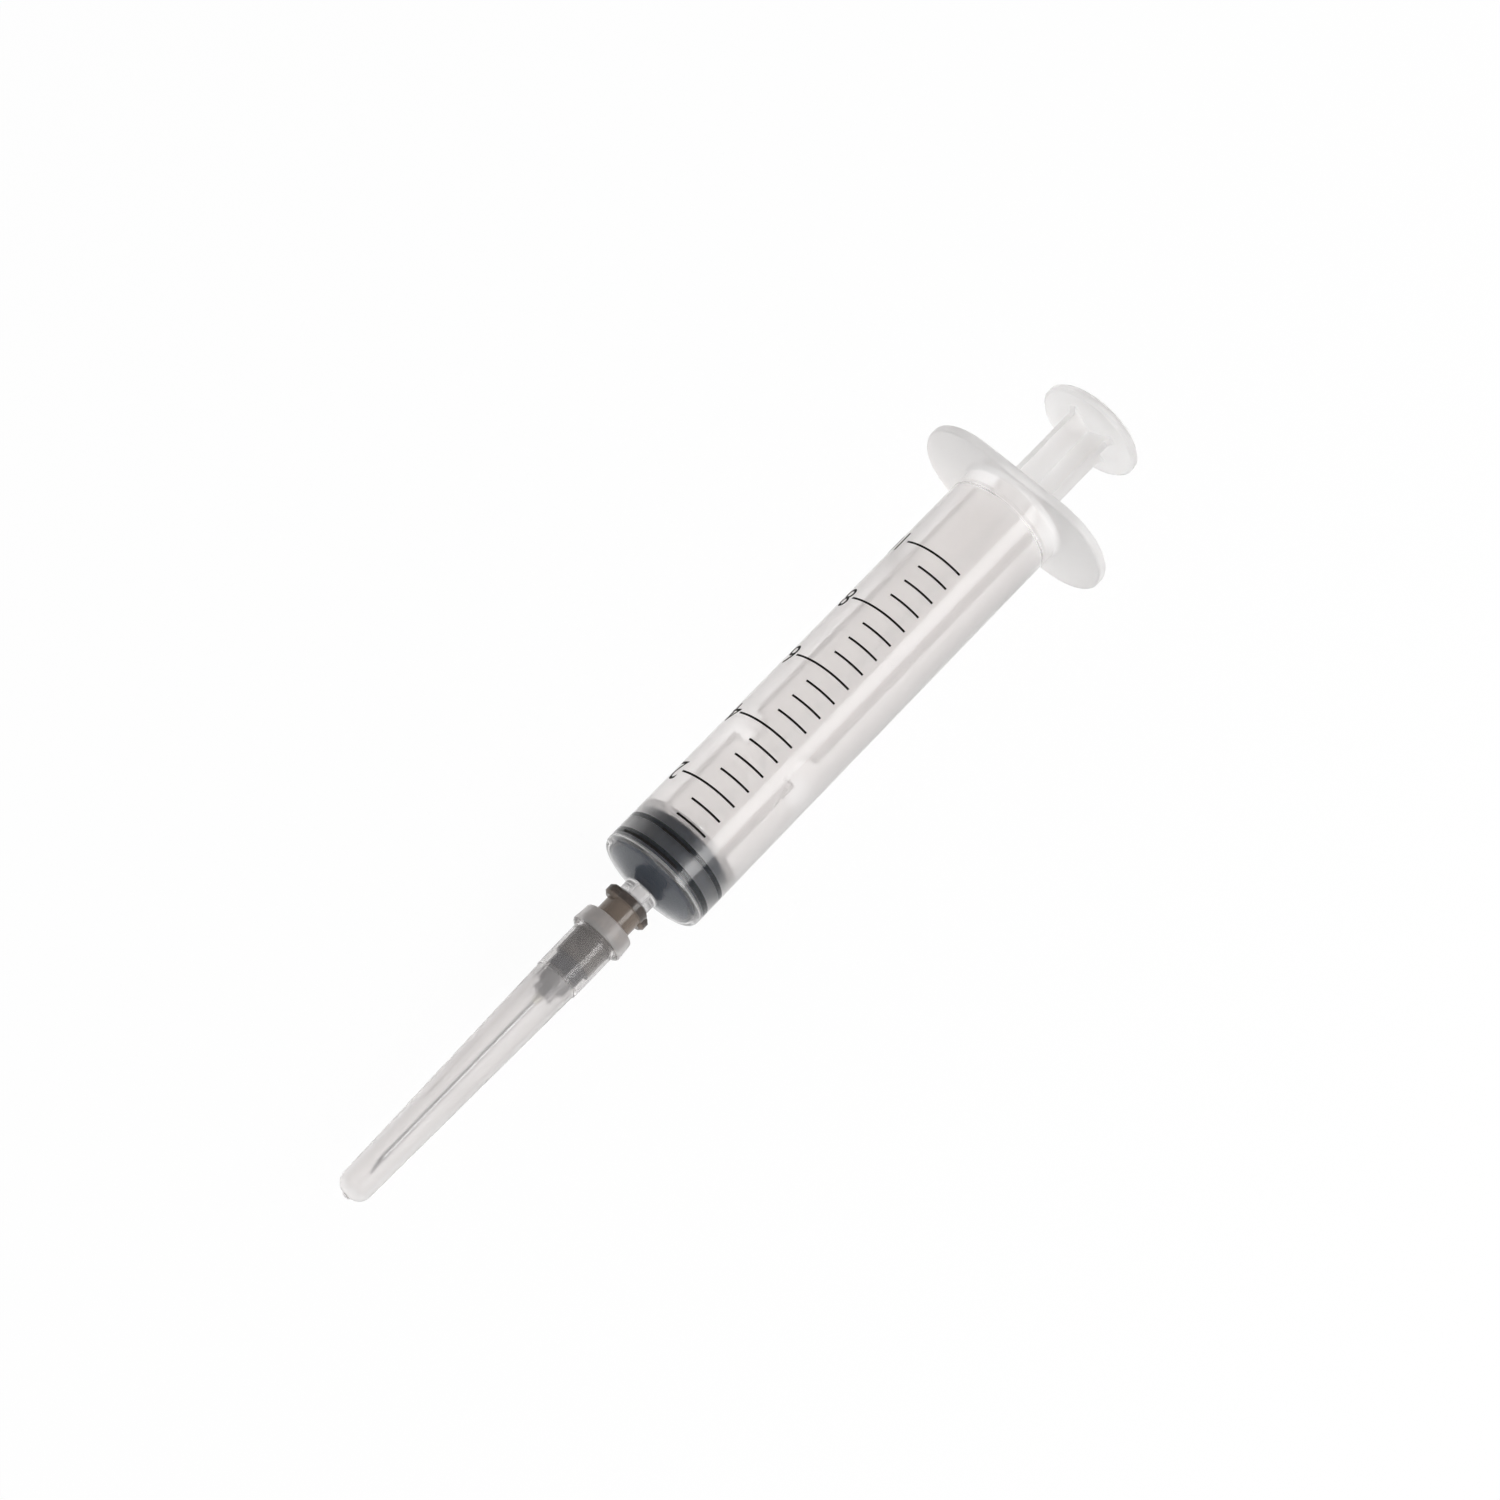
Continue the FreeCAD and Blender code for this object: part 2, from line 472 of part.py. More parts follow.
def build_barrel(model):
    """Barrel in one moulding: nozzle, front cone, graduated tube, stop ring and finger flange."""
    body = model.body("barrel")
    model.turned(body, "tube", (
        ("0", "nozzle_bore_radius"),
        ("inner_front_x", "nozzle_bore_radius"),
        bevelled("inner_corner_x", "bore_radius", "front_corner_bevel"),
        ("ring_front_x", "bore_radius"),
        ("ring_crest_x", "ring_radius"),
        ("ring_back_x", "bore_radius"),
        ("mouth_bevel_x", "bore_radius"),
        ("barrel_end_x", "mouth_radius"),
        ("barrel_end_x", "outer_radius"),
        bevelled("shoulder_x", "outer_radius", "shoulder_bevel"),
        bevelled("nozzle_length", "root_collar_radius", "nozzle_root_bevel"),
        ("root_collar_x", "root_collar_radius"),
        ("root_collar_x", "luer_root_radius"),
        bevelled("0", "nozzle_end_radius", "nozzle_rim_bevel"),
    ))
    flange = model.outline(body, "flange_outline", (
        rounded("-flange_half_length", "-flange_half_width", "flange_corner_round"),
        rounded("flange_half_length", "-flange_half_width", "flange_corner_round"),
        rounded("flange_half_length", "flange_half_width", "flange_corner_round"),
        rounded("-flange_half_length", "flange_half_width", "flange_corner_round"),
    ), "YZ_Plane", "flange_front_x")
    mouth = flange.addGeometry(Part.Circle(Vector(0, 0, 0), Vector(0, 0, 1),
                                           model.value("mouth_radius")), False)
    flange.addConstraint(Sketcher.Constraint("Coincident", mouth, 3, -1, 1))
    model.drive(flange, "Radius", "mouth_radius", mouth)
    pad = body.newObject("PartDesign::Pad", "flange")
    pad.Profile = flange
    pad.setExpression("Length", model.bound("flange_thickness"))
    body.Tip = pad
    outer = model.value("outer_radius")
    front = model.value("flange_front_x")
    back = model.value("barrel_end_x")

    def on_root(edge):
        box = edge.BoundBox
        return (box.XLength < TOUCHING and abs(box.XMin - front) < TOUCHING
                and abs(box.YMax - outer) < TOUCHING)

    def on_rim(edge):
        box = edge.BoundBox
        flat = box.XLength < TOUCHING
        at_face = min(abs(box.XMin - front), abs(box.XMin - back)) < TOUCHING
        reach = max(math.hypot(v.Point.y, v.Point.z) for v in edge.Vertexes)
        return flat and at_face and reach > outer + TOUCHING

    model.chamfer(body, "flange_rim", "flange_edge_bevel", on_rim)
    model.chamfer(body, "flange_root", "flange_root_bevel", on_root)


def build_stopper(model):
    """Elastomer stopper with a conical nose, two sealing ribs and a pocket for the rod's head."""
    body = model.body("stopper")
    model.turned(body, "stopper_form", (
        ("0", "0"),
        ("pocket_front_x", "0"),
        ("pocket_front_x", "pocket_radius"),
        ("lip_front_x", "pocket_radius"),
        ("lip_front_x", "lip_radius"),
        ("stopper_length", "lip_radius"),
        ("stopper_length", "skirt_radius"),
        ("second_rib_back_x", "skirt_radius"),
        ("second_crest_back_x", "rib_top_radius"),
        ("second_crest_x", "rib_top_radius"),
        ("second_rib_x", "waist_radius"),
        ("first_rib_back_x", "waist_radius"),
        ("first_crest_back_x", "rib_top_radius"),
        ("first_crest_x", "rib_top_radius"),
        ("first_rib_x", "nose_base_radius"),
        bevelled("nose_length", "nose_base_radius", "nose_bevel"),
        ("0", "nose_tip_radius"),
    ))


def build_plunger_rod(model):
    """Plunger rod in one moulding: mushroom head, support plate, notched cross ribs, thumb disc."""
    body = model.body("plunger_rod")
    model.turned(body, "head_and_plate", (
        ("0", "0"),
        ("plate_back_x", "0"),
        ("plate_back_x", "plate_radius"),
        ("neck_end_x", "plate_radius"),
        ("neck_end_x", "neck_radius"),
        ("head_length", "neck_radius"),
        ("head_length", "head_radius"),
        ("head_bevel", "head_radius"),
        ("0", "head_bevel_radius"),
    ))
    model.turned(body, "thumb_disc", (
        ("disc_front_x", "0"),
        ("disc_back_x", "0"),
        ("disc_back_x", "groove_inner_radius"),
        ("groove_floor_x", "groove_inner_radius"),
        ("groove_floor_x", "groove_outer_radius"),
        ("disc_back_x", "groove_outer_radius"),
        bevelled("disc_back_x", "thumb_disc_radius", "thumb_disc_bevel"),
        bevelled("disc_front_x", "thumb_disc_radius", "thumb_disc_bevel"),
    ))
    model.web(body, "cross_rib", (
        ("plate_middle_x", "0"),
        ("disc_middle_x", "0"),
        ("disc_middle_x", "stem_foot_radius"),
        ("disc_front_x", "stem_foot_radius"),
        ("stem_foot_x", "stem_radius"),
        ("stem_start_x", "stem_radius"),
        ("wide_rib_end_x", "rib_radius"),
        ("notch_back_x", "rib_radius"),
        rounded("notch_back_x", "notch_floor_radius", "notch_round"),
        rounded("notch_front_x", "notch_floor_radius", "notch_round"),
        ("notch_front_x", "rib_radius"),
        ("plate_middle_x", "rib_radius"),
    ), model.bound("cross_rib_thickness"), COUNTS["cross_ribs"])


def build_needle_hub(model):
    """Needle hub in one moulding: Luer socket, two lugs, stepped body, fins and nose."""
    body = model.body("needle_hub")
    build_lugs(model, body)
    model.turned(body, "hub_form", (
        ("0", "glue_well_radius"),
        ("glue_well_depth", "glue_well_radius"),
        ("glue_well_depth", "tube_seat_radius"),
        ("tube_seat_x", "tube_seat_radius"),
        ("socket_floor_x", "funnel_radius"),
        ("socket_floor_x", "socket_floor_radius"),
        ("hub_length", "hub_mouth_radius"),
        bevelled("hub_length", "hub_rim_radius", "hub_edge_bevel"),
        bevelled("rim_x", "hub_rim_radius", "hub_edge_bevel"),
        ("rim_x", "hub_mouth_outer_radius"),
        ("mouth_part_x", "hub_mouth_outer_radius"),
        ("mouth_part_x", "hub_seat_radius"),
        bevelled("seat_x", "hub_seat_radius", "hub_edge_bevel"),
        ("seat_x", "hub_step_radius"),
        ("step_x", "hub_step_radius"),
        ("step_x", "hub_shoulder_radius"),
        bevelled("hub_shoulder_x", "hub_shoulder_radius", "hub_shoulder_bevel"),
        ("hub_shoulder_x", "hub_nose_radius"),
        ("0", "hub_nose_radius"),
    ))
    model.web(body, "nose_fin", (
        ("0", "nose_fin_root_radius"),
        ("nose_fin_end_x", "nose_fin_root_radius"),
        ("nose_fin_end_x", "nose_fin_radius"),
        ("0", "nose_fin_radius"),
    ), f"2 * {model.bound('nose_fin_half_thickness')}", COUNTS["nose_fins"])
    model.web(body, "seat_fin", (
        ("seat_x", "seat_fin_root_radius"),
        ("mouth_part_x", "seat_fin_root_radius"),
        ("seat_fin_point_x", "seat_fin_radius"),
        ("seat_x", "seat_fin_radius"),
    ), f"2 * {model.bound('seat_fin_half_thickness')}", COUNTS["seat_fins"])


def build_lugs(model, body):
    """Pair of round-nosed lugs at the hub's mouth, one on each side."""
    nose, centre, root = (model.value(n) for n in ("lug_nose_radius", "lug_centre",
                                                   "lug_root_radius"))
    sketch = model.sketch(body, "lug_outline", "YZ_Plane", "lug_x")
    reach = math.acos((root - centre) / nose)
    half = nose * math.sin(reach)
    for side, mark, middle in ((1, "", 0.0), (-1, "-", math.pi)):
        circle = Part.Circle(Vector(side * centre, 0, 0), Vector(0, 0, 1), nose)
        arc = sketch.addGeometry(Part.ArcOfCircle(circle, middle - reach, middle + reach), False)
        chord = sketch.addGeometry(Part.LineSegment(Vector(side * root, side * half, 0),
                                                    Vector(side * root, -side * half, 0)), False)
        sketch.addConstraint(Sketcher.Constraint("Coincident", arc, 2, chord, 1))
        sketch.addConstraint(Sketcher.Constraint("Coincident", chord, 2, arc, 1))
        sketch.addConstraint(Sketcher.Constraint("Vertical", chord))
        model.hold(sketch, arc, 3, f"{mark}lug_centre", "0")
        model.drive(sketch, "Radius", "lug_nose_radius", arc)
        model.drive(sketch, "DistanceX", f"{mark}lug_root_radius", -1, 1, chord, 1)
    pad = body.newObject("PartDesign::Pad", "lugs")
    pad.Profile = sketch
    pad.setExpression("Length", model.bound("lug_length"))
    body.Tip = pad

    def on_lug_edge(edge):
        return edge.Curve.TypeId == "Part::GeomCircle" and abs(edge.Curve.Radius - nose) < TOUCHING

    model.chamfer(body, "lug_edges", "lug_bevel", on_lug_edge)


def build_cannula(model):
    """Steel tube with its point ground to a bevel."""
    body = model.body("cannula")
    model.turned(body, "tube", (
        ("0", "tube_inner_radius"),
        ("tube_length", "tube_inner_radius"),
        ("tube_length", "tube_outer_radius"),
        ("0", "tube_outer_radius"),
    ))
    sketch = model.outline(body, "bevel_outline", (
        ("0", "-tube_outer_radius"),
        ("bevel_back_x", "bevel_reach"),
        ("bevel_front_x", "bevel_reach"),
        ("bevel_front_x", "-tube_outer_radius"),
    ))
    model.document.recompute()
    full = body.Shape.Volume
    bevel = body.newObject("PartDesign::Pocket", "bevel")
    bevel.Profile = sketch
    bevel.SideType = "Symmetric"
    bevel.setExpression("Length", model.bound("bevel_reach"))
    body.Tip = bevel
    model.document.recompute()
    if not body.Shape.Volume < full:
        raise RuntimeError("cannula: the bevel cuts nothing")


def build_adhesive_bead(model):
    """Cured glue between the steel tube and the hub's nose."""
    body = model.body("adhesive_bead")
    model.turned(body, "bead_form", (
        ("0", "tube_seat_radius"),
        ("glue_back_x", "tube_seat_radius"),
        ("glue_back_x", "glue_back_radius"),
        ("glue_reach", "glue_back_radius"),
        ("0", "glue_tip_radius"),
    ))


def build_needle_cap(model):
    """Needle cap in one moulding: long sheath, step, collar and inner ribs."""
    body = model.body("needle_cap")
    model.turned(body, "sheath", (
        ("cap_tip_wall", "0"),
        bevelled("cap_tip_wall", "cap_inner_tip_radius", "cap_inner_bevel"),
        ("cap_rib_start", "cap_inner_rib_radius"),
        ("cap_seat_x", "cap_inner_radius"),
        ("cap_seat_x", "cap_seat_radius"),
        ("cap_mouth_x", "cap_seat_radius"),
        ("cap_mouth_x", "cap_mouth_radius"),
        ("cap_length", "cap_mouth_radius"),
        bevelled("cap_length", "collar_back_radius", "collar_bevel"),
        bevelled("collar_x", "collar_front_radius", "collar_bevel"),
        ("collar_foot_x", "cap_open_radius"),
        ("cap_step_position", "cap_step_outer_radius"),
        ("cap_step_position", "cap_step_radius"),
        rounded("0", "cap_tip_radius", "cap_tip_round"),
        ("0", "gate_radius"),
        ("-gate_height", "gate_radius"),
        ("-gate_height", "0"),
    ))
    model.web(body, "inner_rib", (
        ("cap_rib_start", "cap_rib_front_radius"),
        ("cap_seat_x", "cap_rib_back_radius"),
        ("cap_seat_x", "cap_rib_back_root"),
        ("cap_rib_start", "cap_rib_front_root"),
    ), model.bound("cap_rib_thickness"), COUNTS["cap_ribs"])


def place(model):
    """Lay the pieces along the syringe's axis, at rest, with the box's bottom centre at the origin."""
    stations = {
        "barrel": (0.0, 0.0),
        "stopper": (model.value("stopper_at"), 0.0),
        "plunger_rod": (model.value("rod_at"), model.value("rod_roll")),
        "needle_hub": (model.value("hub_at"), model.value("hub_roll")),
        "cannula": (model.value("tube_at"), model.value("point_roll")),
        "adhesive_bead": (model.value("glue_at"), 0.0),
        "needle_cap": (model.value("cap_at"), 0.0),
    }
    tilt = Placement(Vector(), Rotation(Vector(0, -1, 0), model.value("rest_tilt")))
    for label, (along, roll) in stations.items():
        station = Placement(Vector(along, 0, 0), Rotation(Vector(1, 0, 0), roll))
        model.bodies[label].Placement = tilt.multiply(station)
    model.document.recompute()
    box = Part.makeCompound([body.Shape for body in model.bodies.values()]).optimalBoundingBox(False)
    shift = Placement(Vector(-box.Center.x, -box.Center.y, -box.ZMin), Rotation())
    for body in model.bodies.values():
        body.Placement = shift.multiply(body.Placement)
    model.document.recompute()
    return shift.multiply(tilt)


def check(model):
    """Stop if a feature failed, a sketch is loose or a piece is not one sound solid."""
    for thing in model.document.Objects:
        faults = [state for state in thing.State if state in ("Invalid", "Error")]
        if faults:
            raise RuntimeError(f"{thing.Name}: {faults}")
        if thing.TypeId == "Sketcher::SketchObject" and not thing.FullyConstrained:
            raise RuntimeError(f"{thing.Name}: not fully constrained")
    for label, body in model.bodies.items():
        if body.Shape.isNull() or not body.Shape.isValid() or len(body.Shape.Solids) != 1:
            raise RuntimeError(f"{label}: not one sound solid")


def main():
    """Build the pieces, place them, check them and write one file for each."""
    model = Model()
    for build in (build_barrel, build_stopper, build_plunger_rod, build_needle_hub,
                  build_cannula, build_adhesive_bead, build_needle_cap):
        build(model)
        model.document.recompute()
    axis = place(model)
    check(model)
    os.makedirs("parts", exist_ok=True)
    for label in NODES:
        shape = model.bodies[label].Shape
        shape.exportStep(f"parts/{label}.step")
        print(f"{label}: {shape.Volume:.1f} mm3")
    print(f"nozzle end at {tuple(round(v, 4) for v in axis.Base)}, "
          f"tilt {model.value('rest_tilt'):.4f} deg, rod travel {model.value('rod_travel'):.2f} mm")
    return model, axis


main()
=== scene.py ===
"""A disposable 10 ml syringe with its capped needle, lying on a white table under soft light.

Each new piece is drawn along its own X axis in millimetres, as places along the syringe's axis from
the open end of the nozzle towards the thumb disc, and is then laid where the frame has that axis.
"""
import json
import logging
import math
from collections.abc import Callable
from dataclasses import dataclass, field
from enum import Enum

import bmesh
import bpy
from mathutils import Matrix, Vector

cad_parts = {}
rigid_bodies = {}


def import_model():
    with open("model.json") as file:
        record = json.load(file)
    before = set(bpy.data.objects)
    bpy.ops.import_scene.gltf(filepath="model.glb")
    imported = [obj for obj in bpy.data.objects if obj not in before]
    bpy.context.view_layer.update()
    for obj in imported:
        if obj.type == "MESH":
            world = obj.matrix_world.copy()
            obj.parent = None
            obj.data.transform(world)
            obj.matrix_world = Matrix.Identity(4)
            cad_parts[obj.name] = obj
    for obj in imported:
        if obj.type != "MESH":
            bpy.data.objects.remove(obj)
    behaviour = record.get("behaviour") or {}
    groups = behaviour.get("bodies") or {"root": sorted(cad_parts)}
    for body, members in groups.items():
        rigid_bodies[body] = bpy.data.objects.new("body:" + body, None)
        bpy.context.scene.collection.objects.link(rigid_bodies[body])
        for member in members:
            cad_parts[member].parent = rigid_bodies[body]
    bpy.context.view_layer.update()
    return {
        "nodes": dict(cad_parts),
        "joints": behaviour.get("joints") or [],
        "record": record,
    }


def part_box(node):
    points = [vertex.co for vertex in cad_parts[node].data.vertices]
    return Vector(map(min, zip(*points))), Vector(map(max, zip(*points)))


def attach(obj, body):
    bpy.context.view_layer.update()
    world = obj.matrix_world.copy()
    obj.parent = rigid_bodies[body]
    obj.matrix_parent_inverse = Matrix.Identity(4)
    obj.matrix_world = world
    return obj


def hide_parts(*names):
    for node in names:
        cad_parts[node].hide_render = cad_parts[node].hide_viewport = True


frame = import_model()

MM = 0.001
TURN_STEPS = 144
ARC_STEP = math.radians(12.0)
SAME_PLACE = 1e-7
SMOOTH_ANGLE = math.radians(32.0)
# Millimetres that a vertex may stand off its edge, and a face off the bound of its skin
EDGE_SLACK = 0.01
SKIN_SLACK = 0.1
# Range that most values of a noise are in
NOISE_LOW = 0.3
NOISE_HIGH = 0.7
WHITE = (1.0, 1.0, 1.0, 1.0)

log = logging.getLogger("syringe")

Colour = tuple[float, float, float]


class Skin(Enum):
    """Part of a moulding that has a finish of its own."""

    OUTER = "outside"
    INNER = "bore"
    THICK = "thick stretch"
    CLEAR = "clear stretch"
    MILKY = "milky stretch"
    PRESSED = "pressed against plastic"
    # Stopper's nose: the same rubber with painted light, lighter and bluer where light reaches it through
    # the front cone
    FACING = "facing plastic"


class Body(Enum):
    """Bodies of the frame that the new pieces ride on."""

    BARREL = "barrel"
    STOPPER = "stopper"
    CAP = "cap"


@dataclass(frozen=True)
class Corner:
    """Corner of a turned outline.

    Args:
        along: Place along the axis in millimetres.
        radius: Distance from the axis in millimetres.
        round: Radius of the arc that rounds the corner, 0 for a sharp one.
    """

    along: float
    radius: float
    round: float = 0.0

    @property
    def spot(self) -> Vector:
        """Corner as a flat point."""
        return Vector((self.along, self.radius))


@dataclass(frozen=True)
class Axis:
    """Line that the pieces are turned about.

    Args:
        start: Open end of the nozzle in metres.
        tilt: Rise of the line towards the thumb disc in radians.
    """

    start: Vector
    tilt: float

    @classmethod
    def from_frame(cls, rim_radius: float) -> "Axis":
        """Axis as the frame gives it.

        Args:
            rim_radius: Radius of the nozzle's foremost edge in millimetres.

        Returns:
            The axis through the thumb disc's centre, starting at the nozzle's end.
        """
        record = frame["record"]
        direction = Vector(next(j["axis"] for j in frame["joints"] if j["name"] == "plunger_slide"))
        disc = Vector(next(m["pos_m"] for m in record["mounts"] if m["name"] == "thumb_rest"))
        tilt = math.atan2(direction.z, direction.x)
        end_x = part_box("barrel")[0].x + rim_radius * MM * math.sin(tilt)
        return cls(disc - direction * ((disc.x - end_x) / direction.x), tilt)

    @property
    def matrix(self) -> Matrix:
        """Placement of a piece that is drawn along X from the nozzle's end."""
        return Matrix.Translation(self.start) @ Matrix.Rotation(-self.tilt, 4, "Y")


def pick(*pieces: bpy.types.Object) -> None:
    """Select only these objects, the last one active.

    Args:
        pieces: Objects to select.
    """
    bpy.ops.object.select_all(action="DESELECT")
    for piece in pieces:
        piece.select_set(True)
        bpy.context.view_layer.objects.active = piece


def shifted(corners: list[Corner], shift: float) -> list[Corner]:
    """Corners moved along the axis by this many millimetres."""
    return [Corner(corner.along + shift, corner.radius, corner.round) for corner in corners]


def outline_spots(corners: list[Corner]) -> list[Vector]:
    """Points of a closed outline with its round corners worked out as arcs.

    Args:
        corners: Corners in order.

    Returns:
        Flat points, along the axis and away from it, in millimetres.
    """
    spots: list[Vector] = []
    for i, corner in enumerate(corners):
        here = corner.spot
        if not corner.round:
            spots.append(here)
            continue
        back = (corners[i - 1].spot - here).normalized()
        ahead = (corners[(i + 1) % len(corners)].spot - here).normalized()
        half = back.angle(ahead) / 2
        centre = here + (back + ahead).normalized() * (corner.round / math.sin(half))
        first = here + back * (corner.round / math.tan(half)) - centre
        last = here + ahead * (corner.round / math.tan(half)) - centre
        sweep = first.angle_signed(last)
        steps = max(2, math.ceil(abs(sweep) / ARC_STEP))
        spots += [centre + Matrix.Rotation(-sweep * k / steps, 2) @ first for k in range(steps + 1)]
    return spots


def start_point(spot: Vector) -> None:
    """Leave one selected vertex of the mesh in edit mode at a place.

    Args:
        spot: Place in metres.
    """
    bpy.ops.mesh.select_all(action="DESELECT")
    bpy.ops.mesh.primitive_plane_add(size=MM, location=spot)
    bpy.ops.mesh.merge(type="CENTER")


def turned(name: str, corners: list[Corner]) -> bpy.types.Object:
    """Closed skin turned about X from an outline.

    Args:
        name: Name of the new piece.
        corners: Outline, closed, or open with both its ends on the axis.

    Returns:
        The new piece, still drawn along X.
    """
    spots = [Vector((s.x, 0.0, s.y)) * MM for s in outline_spots(corners)]
    bpy.ops.object.select_all(action="DESELECT")
    bpy.ops.mesh.primitive_plane_add(size=MM, location=spots[0])
    piece = bpy.context.object
    piece.name = piece.data.name = name
    bpy.ops.object.transform_apply(location=True, rotation=False, scale=False)
    bpy.ops.object.mode_set(mode="EDIT")
    bpy.ops.mesh.merge(type="CENTER")
    on_axis = spots[0].z == 0.0 and spots[-1].z == 0.0
    route = spots[1:] if on_axis else spots[1:] + spots[:1]
    here = spots[0]
    for spot in route:
        bpy.ops.mesh.extrude_region_move(TRANSFORM_OT_translate={"value": spot - here})
        here = spot
    bpy.ops.mesh.select_all(action="SELECT")
    bpy.ops.mesh.spin(steps=TURN_STEPS, angle=2 * math.pi, center=(0, 0, 0), axis=(1, 0, 0))
    bpy.ops.mesh.select_all(action="SELECT")
    bpy.ops.mesh.remove_doubles(threshold=SAME_PLACE)
    bpy.ops.mesh.select_all(action="SELECT")
    bpy.ops.mesh.normals_make_consistent(inside=False)
    bpy.ops.object.mode_set(mode="OBJECT")
    return piece


def select_only(piece: bpy.types.Object, mesh: bmesh.types.BMesh, chosen: list[bmesh.types.BMVert]) -> None:
    """Select only these vertices of the mesh in edit mode.

    Args:
        piece: Piece in edit mode.
        mesh: Its edit mesh.
        chosen: Vertices to select.
    """
    bpy.ops.mesh.select_all(action="DESELECT")
    for vertex in chosen:
        vertex.select = True
    mesh.select_flush(True)
    bmesh.update_edit_mesh(piece.data)


def combine(base: bpy.types.Object, other: bpy.types.Object) -> None:
    """Join a second solid to a piece and remove it.

    Args:
        base: Piece that grows.
        other: Solid that is used up.
    """
    pick(base)
    modifier = base.modifiers.new("combine", "BOOLEAN")
    modifier.operation = "UNION"
    modifier.solver = "EXACT"
    modifier.object = other
    bpy.ops.object.modifier_apply(modifier=modifier.name)
    bpy.data.objects.remove(other, do_unlink=True)


def coat(piece: bpy.types.Object, *finishes: "Finish") -> None:
    """Give a piece one material slot for each finish.

    Args:
        piece: Piece that gets them.
        finishes: Finishes in the order of the slots.
    """
    piece.data.materials.clear()
    for finish in finishes:
        piece.data.materials.append(finish.material())


def part_skins(piece: bpy.types.Object, finishes: dict[Skin, "Finish"],
               skin_at: Callable[[float, float], Skin]) -> None:
    """Give each part of a moulding a finish of its own.

    Args:
        piece: Piece still drawn along X.
        finishes: Finish of each skin, in the order of the slots.
        skin_at: Says which skin has a face, from its place along the axis and its radius.
    """
    coat(piece, *finishes.values())
    order = list(finishes)
    for face in piece.data.polygons:
        centre = face.center / MM
        face.material_index = order.index(skin_at(centre.x, math.hypot(centre.y, centre.z)))


def settle(piece: bpy.types.Object, axis: Axis, body: Body,
           stands_for: str | None = None) -> None:
    """Shade a coated piece, lay it along the axis and enter it in the frame.

    Args:
        piece: Piece that is drawn along X from the nozzle's end.
        axis: Where it lies.
        body: Body that it rides on.
        stands_for: Node that it replaces, if any.
    """
    pick(piece)
    bpy.ops.object.shade_smooth_by_angle(angle=SMOOTH_ANGLE)
    piece.matrix_world = axis.matrix
    bpy.ops.object.transform_apply(location=True, rotation=True, scale=True)
    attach(piece, body.value)
    if stands_for:
        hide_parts(stands_for)
    log.info("%s: %d faces on %s", piece.name, len(piece.data.polygons), body.value)


@dataclass(frozen=True)
class Grain:
    """Fine unevenness of a surface.

    Args:
        size: Size of its cells in millimetres.
        stretch: How many times longer a cell is along X than across it.
        detail: Octaves of finer noise.
        fade: Share of its light that the colour loses in the low spots.
        uneven: Share by which the roughness varies.
        height: Height of its relief in millimetres, 0 for none.
        strength: Share of the relief that shows.
    """

    size: float
    stretch: float = 1.0
    detail: float = 2.0
    fade: float = 0.04
    uneven: float = 0.2
    height: float = 0.0
    strength: float = 0.3


